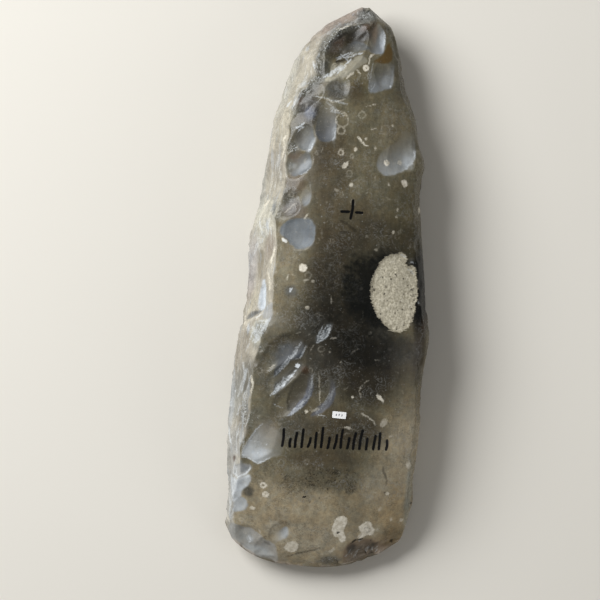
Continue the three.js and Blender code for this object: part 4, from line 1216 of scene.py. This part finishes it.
def roughen(lift, flat, plan):
    """Adds grit and the sunk chalk to the lift. Returns how crushed each point is and its depth in chalk."""
    crushed = np.zeros(len(plan))
    grit = noise(flat, 1.1, 3) + 0.6 * noise(flat, 0.55, 4) - 0.5
    for *shape, strength, relief in CRUSHED:
        cover = dab(plan, *shape)
        crushed = np.maximum(crushed, strength * cover)
        lift += cover * relief * grit
    chalk = depth_inside(plan, closed_curve(CHALK_OUTLINE))
    chalky = noise(flat, 1.1, 8) + 0.7 * noise(flat, 0.6, 9)
    lift -= ease(chalk, 0, 0.7) * (CHALK_SINK + CHALK_RELIEF * chalky)
    return crushed, chalk


def build_stone():
    points, seen, on_side, tones = knapped_form()
    flat = points.reshape(-1, 3)
    stray = [noise(flat, PAINT_WANDER_SIZE, seed) for seed in (31, 32)]
    plan = flat[:, :2] + PAINT_WANDER * np.stack(stray, -1)
    colours, lift, satin = stone_colours(flat, plan, seen, on_side, tones)
    crushed, chalk = roughen(lift, flat, plan)
    lift *= seen
    points += grid_normals(points) * lift.reshape(points.shape[:2])[..., None]
    low, high = (np.array(corner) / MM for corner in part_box(STONE))
    points[:] = np.clip(points, low, high)

    on_face = seen * (1 - on_side)
    values = {
        "side": on_side,
        "satin": satin * seen,
        "crushed": crushed * seen,
        "chalk": np.where(seen, chalk, FAR_OUTSIDE),
        "stain": on_face * strongest(strength * dab(plan, *shape) for *shape, strength in STAIN),
        "smudge": on_face * strongest(strength * dab(plan, *shape) for *shape, strength in SMUDGES),
    }
    for name, marks in {
        "fossil": fossil_marks(plan),
        "glint": stroke_marks(plan, GLINTS, GLINT_BUNDLES),
        "dark": stroke_marks(plan, DARK_MARKS, DARK_BUNDLES),
        "pen": pen_marks(flat[:, :2]),
    }.items():
        values[name] = marks.depth
        values[name + "_strength"] = marks.strength * seen

    mesh = stone_mesh(points)
    for name, numbers in values.items():
        keep_values(mesh, name, numbers)
    paint = np.concatenate([colours, np.ones((len(plan), 1))], 1).astype(np.float32)
    mesh.attributes.new("paint", "FLOAT_COLOR", "POINT").data.foreach_set("color", paint.ravel())
    return add_object("flint_axe_surface", mesh)


# ---- Mesh ----


def add_object(name, data):
    made = bpy.data.objects.new(name, data)
    bpy.context.scene.collection.objects.link(made)
    return made


def keep_values(mesh, name, values):
    """Keeps one number for each point, for the material to read."""
    mesh.attributes.new(name, "FLOAT", "POINT").data.foreach_set("value", values.astype(np.float32))


def ring_triangles(first, around, turning, is_butt):
    """A strip of triangles between the upper and the lower chain of one loop."""
    lower_count = around - turning
    up = down = 0
    triangles = []
    while up < turning or down < lower_count:
        a, b = first + up, first + (around - down) % around
        up_next = down >= lower_count or (up + 1) / turning <= (down + 1) / lower_count
        if up < turning and up_next:
            up += 1
            c = first + up
        else:
            down += 1
            c = first + (around - down) % around
        if len({a, b, c}) == 3:
            triangles.append((a, c, b) if is_butt else (a, b, c))
    return triangles


def stone_mesh(points):
    """The grid of points as a closed mesh in metres."""
    rows, around = points.shape[:2]
    index = np.arange(rows * around).reshape(rows, around)
    beside = np.roll(index, -1, axis=1)
    quads = np.stack([index[:-1], beside[:-1], beside[1:], index[1:]], -1).reshape(-1, 4)
    turning = STEPS["left_side"] + STEPS["upper"] + STEPS["right_side"] // 2
    ends = ring_triangles(0, around, turning, False)
    ends += ring_triangles((rows - 1) * around, around, turning, True)
    mesh = bpy.data.meshes.new("flint_axe_head_surface")
    mesh.from_pydata((points.reshape(-1, 3) * MM).tolist(), [], quads.tolist() + ends)
    mesh.shade_smooth()
    return mesh


# ---- Materials ----


class Graph:
    """A material's nodes. Each call adds one node and gives back its output, ready for the next call."""

    def __init__(self, name):
        self.material = bpy.data.materials.new(name)
        self.material.use_nodes = True
        self.tree = self.material.node_tree
        self.shader = self.tree.nodes["Principled BSDF"]
        place = self.node("ShaderNodeTexCoord", {}, "Object")
        self.place = self.node("ShaderNodeVectorMath", {0: place, "Scale": 1 / MM}, operation="SCALE")

    def node(self, kind, inputs, output=0, **settings):
        made = self.tree.nodes.new(kind)
        for name, value in settings.items():
            setattr(made, name, value)
        for key, value in inputs.items():
            self.feed(made.inputs[key], value)
        return made.outputs[output]

    def feed(self, socket, value):
        if isinstance(value, bpy.types.NodeSocket):
            self.tree.links.new(value, socket)
        elif isinstance(value, str):
            socket.default_value = (*rgb(value), 1)
        elif isinstance(value, np.ndarray):
            socket.default_value = (*value, 1)
        else:
            socket.default_value = value

    def attribute(self, name, output="Fac"):
        return self.node("ShaderNodeAttribute", {}, output, attribute_name=name)

    def math(self, operation, a, b=0.0):
        return self.node("ShaderNodeMath", {0: a, 1: b}, operation=operation)

    def spread(self, value, amount):
        """A noise about 0.5, moved to run about 0 and made amount times as strong."""
        return self.math("MULTIPLY", self.math("SUBTRACT", value, 0.5), amount)

    def ramp(self, value, low, high, to_low=0.0, to_high=1.0):
        """Eases a value between low and high to a range of its own."""
        inputs = {"Value": value, "From Min": low, "From Max": high, "To Min": to_low, "To Max": to_high}
        return self.node("ShaderNodeMapRange", inputs, interpolation_type="SMOOTHSTEP")

    def between(self, share, a, b):
        """A number from a to b."""
        return self.node("ShaderNodeMix", {0: share, 2: a, 3: b}, 0)

    def mix(self, share, a, b, blend="MIX"):
        """A colour from a to b."""
        return self.node("ShaderNodeMix", {0: share, 6: a, 7: b}, 2, data_type="RGBA", blend_type=blend)

    def noise(self, size, detail, stretch=(1, 1, 1), seed=0.0, distortion=0.0):
        """Noise with features about size millimetres across, times stretch along each axis."""
        scale = [1 / (size * s) for s in stretch]
        place = self.node("ShaderNodeVectorMath", {0: self.place, 1: scale}, operation="MULTIPLY")
        moved = self.node("ShaderNodeVectorMath", {0: place, 1: [seed] * 3}, operation="ADD")
        inputs = {"Vector": moved, "Scale": 1.0, "Detail": detail, "Distortion": distortion}
        return self.node("ShaderNodeTexNoise", inputs)

    def threads(self, size, width, seed):
        """Thin curly lines, where a warped noise crosses its middle, in clusters."""
        pattern = self.noise(size, 2, seed=seed, distortion=1.6)
        line = self.ramp(self.math("ABSOLUTE", self.math("SUBTRACT", pattern, 0.5)), 0, width, 1, 0)
        cluster = self.ramp(self.noise(4 * size, 3, seed=seed + 1), 0.44, 0.6)
        return self.math("MULTIPLY", line, cluster)

    def spots(self, size, seed):
        """The distance from the nearest of many scattered places, in sizes."""
        moved = self.node("ShaderNodeVectorMath", {0: self.place, 1: [seed] * 3}, operation="ADD")
        return self.node("ShaderNodeTexVoronoi", {"Vector": moved, "Scale": 1 / size}, "Distance")

    def cover(self, name, soft, ragged, grain):
        """The marks of this name, with a soft border that the grain makes ragged."""
        depth = self.math("ADD", self.attribute(name), self.spread(grain, ragged))
        return self.math("MULTIPLY", self.ramp(depth, -soft, soft), self.attribute(name + "_strength"))

    def finish(self, colour, roughness, height, relief, specular):
        """Height runs from 0 to 1, over relief millimetres."""
        bump = self.node("ShaderNodeBump", {"Height": height, "Distance": relief * MM, "Strength": 1.0})
        for name, value in {"Base Color": colour, "Roughness": roughness, "Normal": bump}.items():
            self.feed(self.shader.inputs[name], value)
        self.shader.inputs["Specular IOR Level"].default_value = specular
        return self.material


# Streaks drawn out along the left side: tone, size, length in sizes, share and seed.
# The blue-grey and the white streaks are partly the stone's own banding and partly painted highlights.
SIDE_STREAKS = [("9aa1a8", 2.5, 5, 0.45, 53), ("cfd1ce", 0.8, 9, 0.35, 51), ("6f6e6f", 0.8, 8, 0.28, 57)]
COOL_TINT, WARM_TINT = np.array((0.97, 1.0, 1.03)), np.array((1.04, 1.0, 0.94))
CRUSHED_GREY = "5b5b54"
FOSSIL_DULL, FOSSIL_BRIGHT, FOSSIL_INNER = "c0b8a6", "e8e2d3", "9d9381"
CHALK_DULL, CHALK_BRIGHT, CHALK_CLOUD = "a39b86", "d9d2bd", "a09a88"
CHALK_FLECK, CHALK_PIT = "ece6d4", "38342b"
POLISHED_ROUGHNESS = (0.22, 0.34)
SATIN_ROUGHNESS, CHALK_ROUGHNESS = 0.5, 0.92
FLINT_RELIEF, FLINT_SPECULAR = 0.03, 0.26


def grained(g, colour, patterns, side, face, coarse):
    """Grain of several sizes, a cool and a warm tint, sandy specks, and streaks on the left side."""
    for pattern, dark, light in patterns:
        colour = g.mix(coarse, colour, g.ramp(pattern, 0.3, 0.7, dark, light), "MULTIPLY")
    warm = g.ramp(g.noise(3, 5, seed=21, distortion=0.8), 0.35, 0.65)
    tint = g.mix(warm, COOL_TINT, WARM_TINT)
    colour = g.mix(g.math("MULTIPLY", coarse, face), colour, tint, "MULTIPLY")
    speck = g.noise(0.8, 3, seed=41, distortion=0.6)
    colour = g.mix(g.ramp(speck, 0.6, 0.72, 0, 0.25), colour, SAND)
    colour = g.mix(coarse, colour, g.ramp(speck, 0.26, 0.42, 0.84, 1), "MULTIPLY")
    # The blue-grey and white streaks are partly painted highlights.
    for tone, size, length, share, seed in SIDE_STREAKS:
        lines = g.ramp(g.noise(size, 4, (1, length, 1), seed=seed), 0.56, 0.7, 0, share)
        colour = g.mix(g.math("MULTIPLY", lines, side), colour, tone)
    return colour


def with_crushed(g, colour, crushed):
    """Crushed stone is greyer, with dark and white chips."""
    chip = g.noise(0.6, 3, seed=33)
    colour = g.mix(g.math("MULTIPLY", crushed, 0.6), colour, CRUSHED_GREY)
    dark_chips = g.ramp(g.math("ADD", crushed, g.spread(chip, 3.4)), 1.0, 1.5, 0, 0.6)
    colour = g.mix(dark_chips, colour, PEAT)
    white_chips = g.ramp(g.math("SUBTRACT", crushed, g.spread(chip, 3.4)), 1.1, 1.7, 0, 0.6)
    return g.mix(white_chips, colour, GLINT)


def with_soot(g, colour, blackened):
    """Clusters and branches of soot, and the black stain."""
    smudge = g.attribute("smudge")
    soot = g.math("ADD", smudge, g.spread(g.noise(1.3, 6, seed=35, distortion=1.2), 3.4))
    colour = g.mix(g.ramp(soot, 0.95, 1.6, 0, 0.6), colour, PEAT)
    branches = g.math("MAXIMUM", g.threads(1.3, 0.1, 37), g.ramp(g.spots(1.3, 8), 0.12, 0.26, 1, 0))
    colour = g.mix(g.math("MULTIPLY", branches, g.ramp(smudge, 0.15, 0.8, 0, 0.85)), colour, DARK)
    return g.mix(g.math("MULTIPLY", blackened, 0.97), colour, SOOT)


def with_threads(g, colour, cloud, face, coarse, fading):
    """Thin dark threads everywhere, and pale threads and dots on the broad face."""
    dark_threads = g.math("MULTIPLY", g.threads(1.4, 0.05, 95), 0.4)
    colour = g.mix(g.math("MULTIPLY", dark_threads, coarse), colour, PEAT)
    dots = g.math("MULTIPLY", g.ramp(g.spots(1.9, 6), 0.07, 0.16, 0.45, 0), g.ramp(cloud, 0.48, 0.58))
    pale_threads = g.math("MAXIMUM", g.math("MULTIPLY", g.threads(2.4, 0.04, 91), 0.26), dots)
    pale_threads = g.math("MULTIPLY", pale_threads, g.math("MULTIPLY", face, coarse))
    return g.mix(g.math("MULTIPLY", pale_threads, fading), colour, STEEL)


def with_fossils(g, colour, grain, fading):
    """Mottled pale fossils, duller in the middle."""
    fossil = g.math("MULTIPLY", g.cover("fossil", 0.25, 0.9, grain), fading)
    mottle = g.ramp(g.noise(1.1, 5, seed=83), 0.3, 0.7)
    fossil_colour = g.mix(mottle, FOSSIL_DULL, FOSSIL_BRIGHT)
    inner = g.ramp(g.attribute("fossil"), 0.4, 1.2, 0, 0.12)
    return g.mix(fossil, colour, g.mix(inner, fossil_colour, FOSSIL_INNER))


def chalk_paint(g, depth):
    """Chalk: grit, dull clouds, bright flecks, a dusty border and dark pits."""
    pits = g.ramp(g.spots(1.7, 2), 0.14, 0.26, 0.85, 0)
    pits = g.math("MULTIPLY", pits, g.ramp(g.noise(2.0, 2, seed=61), 0.48, 0.56))
    grit = g.ramp(g.noise(0.7, 6, seed=63), 0.3, 0.7)
    colour = g.mix(grit, CHALK_DULL, CHALK_BRIGHT)
    colour = g.mix(g.ramp(g.noise(5, 3, seed=67), 0.35, 0.65, 0, 0.35), colour, CHALK_CLOUD)
    colour = g.mix(g.ramp(g.noise(1.4, 3, seed=69), 0.58, 0.7, 0, 0.5), colour, CHALK_FLECK)
    colour = g.mix(g.ramp(depth, 0.1, 1.2, 0.4, 0), colour, DUST)
    return g.mix(pits, colour, CHALK_PIT)


def flint_material():
    g = Graph("flint")
    cloud, fleck, grain = g.noise(7, 4), g.noise(1.6, 5, seed=5), g.noise(0.5, 3, seed=9)
    streak, hair = g.noise(1.5, 4, (1, 10, 1), seed=3), g.noise(0.5, 3, (1, 20, 1), seed=13)
    long_cloud = g.noise(3, 4, (1, 3, 1), seed=45)
    # Each pattern with the tones of its dark and its light places.
    patterns = (
        (cloud, 0.9, 1.1), (long_cloud, 0.91, 1.09), (fleck, 0.88, 1.12),
        (grain, 0.92, 1.09), (hair, 0.95, 1.05), (streak, 0.95, 1.05),
    )
    side = g.attribute("side")
    face = g.math("SUBTRACT", 1.0, side)
    coarse = g.math("SUBTRACT", 1.0, g.math("MULTIPLY", g.attribute("satin"), 0.6))
    crushed = g.attribute("crushed")
    blackened = g.ramp(g.math("ADD", g.attribute("stain"), g.spread(fleck, 0.7)), 0.1, 0.95)
    fading = g.math("SUBTRACT", 1.0, g.math("MULTIPLY", blackened, 0.9))

    colour = grained(g, g.attribute("paint", "Color"), patterns, side, face, coarse)
    colour = with_crushed(g, colour, crushed)
    colour = with_soot(g, colour, blackened)
    colour = with_threads(g, colour, cloud, face, coarse, fading)
    colour = with_fossils(g, colour, grain, fading)
    spikes = g.noise(0.4, 2, (5, 1, 2), seed=65)
    chalk_depth = g.math("ADD", g.attribute("chalk"), g.spread(spikes, 2.2))
    chalk = g.ramp(chalk_depth, -0.12, 0.12)
    colour = g.mix(chalk, colour, chalk_paint(g, chalk_depth))
    # The glint marks are painted highlights on glassy edges.
    for name, soft, ragged, tone in (
        ("dark", 0.25, 1.0, DARK), ("glint", 0.22, 1.0, GLINT), ("pen", 0.12, 0.25, INK),
    ):
        colour = g.mix(g.cover(name, soft, ragged, grain), colour, tone)

    shine = g.ramp(g.noise(2.5, 4, seed=71), 0.3, 0.7, *POLISHED_ROUGHNESS)
    shine = g.between(g.attribute("satin"), shine, SATIN_ROUGHNESS)
    roughness = g.between(chalk, shine, CHALK_ROUGHNESS)
    height = g.math("ADD", g.math("MULTIPLY", g.noise(0.8, 4, seed=81), 0.5), g.math("MULTIPLY", streak, 0.5))
    rough_places = g.math("MAXIMUM", chalk, g.math("MULTIPLY", crushed, 0.8))
    height = g.math("ADD", height, g.math("MULTIPLY", rough_places, g.math("MULTIPLY", grain, 5.0)))
    return g.finish(colour, roughness, height, FLINT_RELIEF, FLINT_SPECULAR)


def paper_material():
    g = Graph("paper")
    fibre = g.noise(0.25, 4, (1, 3, 1))
    colour = g.mix(g.ramp(fibre, 0.3, 0.7), "f6f6f5", "fdfdfc")
    ticks = g.attribute("ticks")
    colour = g.mix(g.ramp(ticks, -0.06, 0.06, 0, 0.95), colour, "1c1e3c")
    return g.finish(colour, 0.75, fibre, 0.02, 0.3)


# ---- Paper label ----

LABEL_COLUMNS, LABEL_ROWS = 28, 14
LABEL_CURL = 0.03
CORNER_TRIM_LENGTH, CORNER_TRIM_WIDTH, CORNER_POWER = 0.03, 0.05, 12
# Three pen ticks, by their middles.
TICKS = [(-1.1, 0), (-0.1, 0.1), (0.9, -0.05)]
TICK_HALF_WIDTH, TICK_HALF_HEIGHT, TICK_LEAN = 0.17, 0.45, 0.1


def build_label():
    """A thin sheet that follows the stone, with soft corners and a few pen ticks."""
    station, f = upper_place(LABEL_X, LABEL_Y)
    middle = form_point("upper", f, station)
    across = unit(form_point("upper", f + 0.01, station) - middle)
    ahead = unit(form_point("upper", f, station + 1) - form_point("upper", f, station - 1))
    out = unit(np.cross(across, ahead))
    ahead = np.cross(out, across)
    turn = math.radians(LABEL_TURN)
    across, ahead = (
        across * math.cos(turn) + ahead * math.sin(turn),
        ahead * math.cos(turn) - across * math.sin(turn),
    )
    columns, rows = np.linspace(-0.5, 0.5, LABEL_COLUMNS), np.linspace(-0.5, 0.5, LABEL_ROWS)
    u, v = np.meshgrid(columns * LABEL_LENGTH, rows * LABEL_WIDTH)
    corner = np.clip(np.abs(2 * u / LABEL_LENGTH) * np.abs(2 * v / LABEL_WIDTH), 0, 1) ** CORNER_POWER
    u, v = u * (1 - CORNER_TRIM_LENGTH * corner), v * (1 - CORNER_TRIM_WIDTH * corner)
    flat = middle + u[..., None] * across + v[..., None] * ahead
    lift = LABEL_CURL * (1 - (2 * u / LABEL_LENGTH) ** 2)
    bottom = flat + out * (LABEL_GAP + 0.5 * lift)[..., None]
    top = flat + out * (LABEL_GAP + LABEL_THICKNESS - LABEL_CURL + lift)[..., None]

    count = LABEL_ROWS * LABEL_COLUMNS
    index = np.arange(count).reshape(LABEL_ROWS, LABEL_COLUMNS)
    quads = np.stack([index[:-1, :-1], index[:-1, 1:], index[1:, 1:], index[1:, :-1]], -1).reshape(-1, 4)
    rim = np.concatenate([index[0, :-1], index[:-1, -1], index[-1, :0:-1], index[:0:-1, 0]])
    walls = np.stack([rim, np.roll(rim, -1), np.roll(rim, -1) + count, rim + count], -1)
    faces = quads[:, ::-1].tolist() + (quads + count).tolist() + walls.tolist()
    mesh = bpy.data.meshes.new("label_sheet")
    vertices = np.concatenate([bottom.reshape(-1, 3), top.reshape(-1, 3)]) * MM
    mesh.from_pydata(vertices.tolist(), [], faces)
    plan = np.stack([u.ravel(), v.ravel()], 1)
    strokes = [
        (TICK_HALF_WIDTH, 1, (x, y - TICK_HALF_HEIGHT), (x + TICK_LEAN, y + TICK_HALF_HEIGHT)) for x, y in TICKS
    ]
    keep_values(mesh, "ticks", np.concatenate([np.full(count, -1.0), stroke_marks(plan, strokes).depth]))
    return add_object("paper_label_sheet", mesh)


# ---- Floor, light and camera ----

VIEW_CENTRE = (-11.9, -5.5, 18)
VIEW_HEIGHT_ABOVE = 3000
VIEW_SPAN = 213.1
VIEW_ROLL = 4.4
SENSOR_WIDTH = 36
# In metres from here on: the floor lies just under the stone.
FLOOR_SIZE, FLOOR_DROP = 3, 0.0002
# Area lights: name, place, size, power and tint.
LIGHTS = [
    ("window", (-0.62, 0.4, 0.62), 0.7, 13, (0.98, 0.99, 1.0)),
    ("fill", (0.75, -0.35, 0.35), 0.6, 1.5, (1.0, 0.99, 0.97)),
]
WORLD_STRENGTH = 0.22


def add_floor():
    bpy.ops.mesh.primitive_plane_add(size=FLOOR_SIZE, location=(0, 0, -FLOOR_DROP))
    floor = bpy.context.object
    floor.name = "floor"
    g = Graph("pale_floor")
    floor.data.materials.append(g.finish("d9d5cc", 0.85, 0.5, 0.01, 0.2))


def add_area_light(name, place, size, power, tint):
    data = bpy.data.lights.new(name, "AREA")
    data.shape, data.size, data.energy, data.color = "DISK", size, power, tint
    light = add_object(name, data)
    light.location = place
    light.rotation_euler = (-Vector(place)).to_track_quat("-Z", "Y").to_euler()


def add_lights():
    for light in LIGHTS:
        add_area_light(*light)
    world = bpy.data.worlds.new("studio")
    bpy.context.scene.world = world
    world.use_nodes = True
    background = world.node_tree.nodes["Background"].inputs
    background["Color"].default_value = (1, 1, 1, 1)
    background["Strength"].default_value = WORLD_STRENGTH


def add_camera():
    data = bpy.data.cameras.new("camera")
    data.sensor_width = SENSOR_WIDTH
    data.lens = data.sensor_width * VIEW_HEIGHT_ABOVE / VIEW_SPAN
    data.clip_start, data.clip_end = 0.01, 10
    camera = add_object("camera", data)
    x, y, z = VIEW_CENTRE
    camera.location = Vector((x, y, z + VIEW_HEIGHT_ABOVE)) * MM
    camera.rotation_euler = (0, 0, math.radians(VIEW_ROLL))
    bpy.context.scene.camera = camera


def dress(piece, node, material):
    """Gives a piece its material and lets it stand for its CAD node."""
    piece.data.materials.append(material)
    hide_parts(node)
    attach(piece, "root")


dress(build_stone(), STONE, flint_material())
dress(build_label(), LABEL, paper_material())
add_floor()
add_lights()
add_camera()
bpy.context.scene.view_settings.view_transform = "Standard"
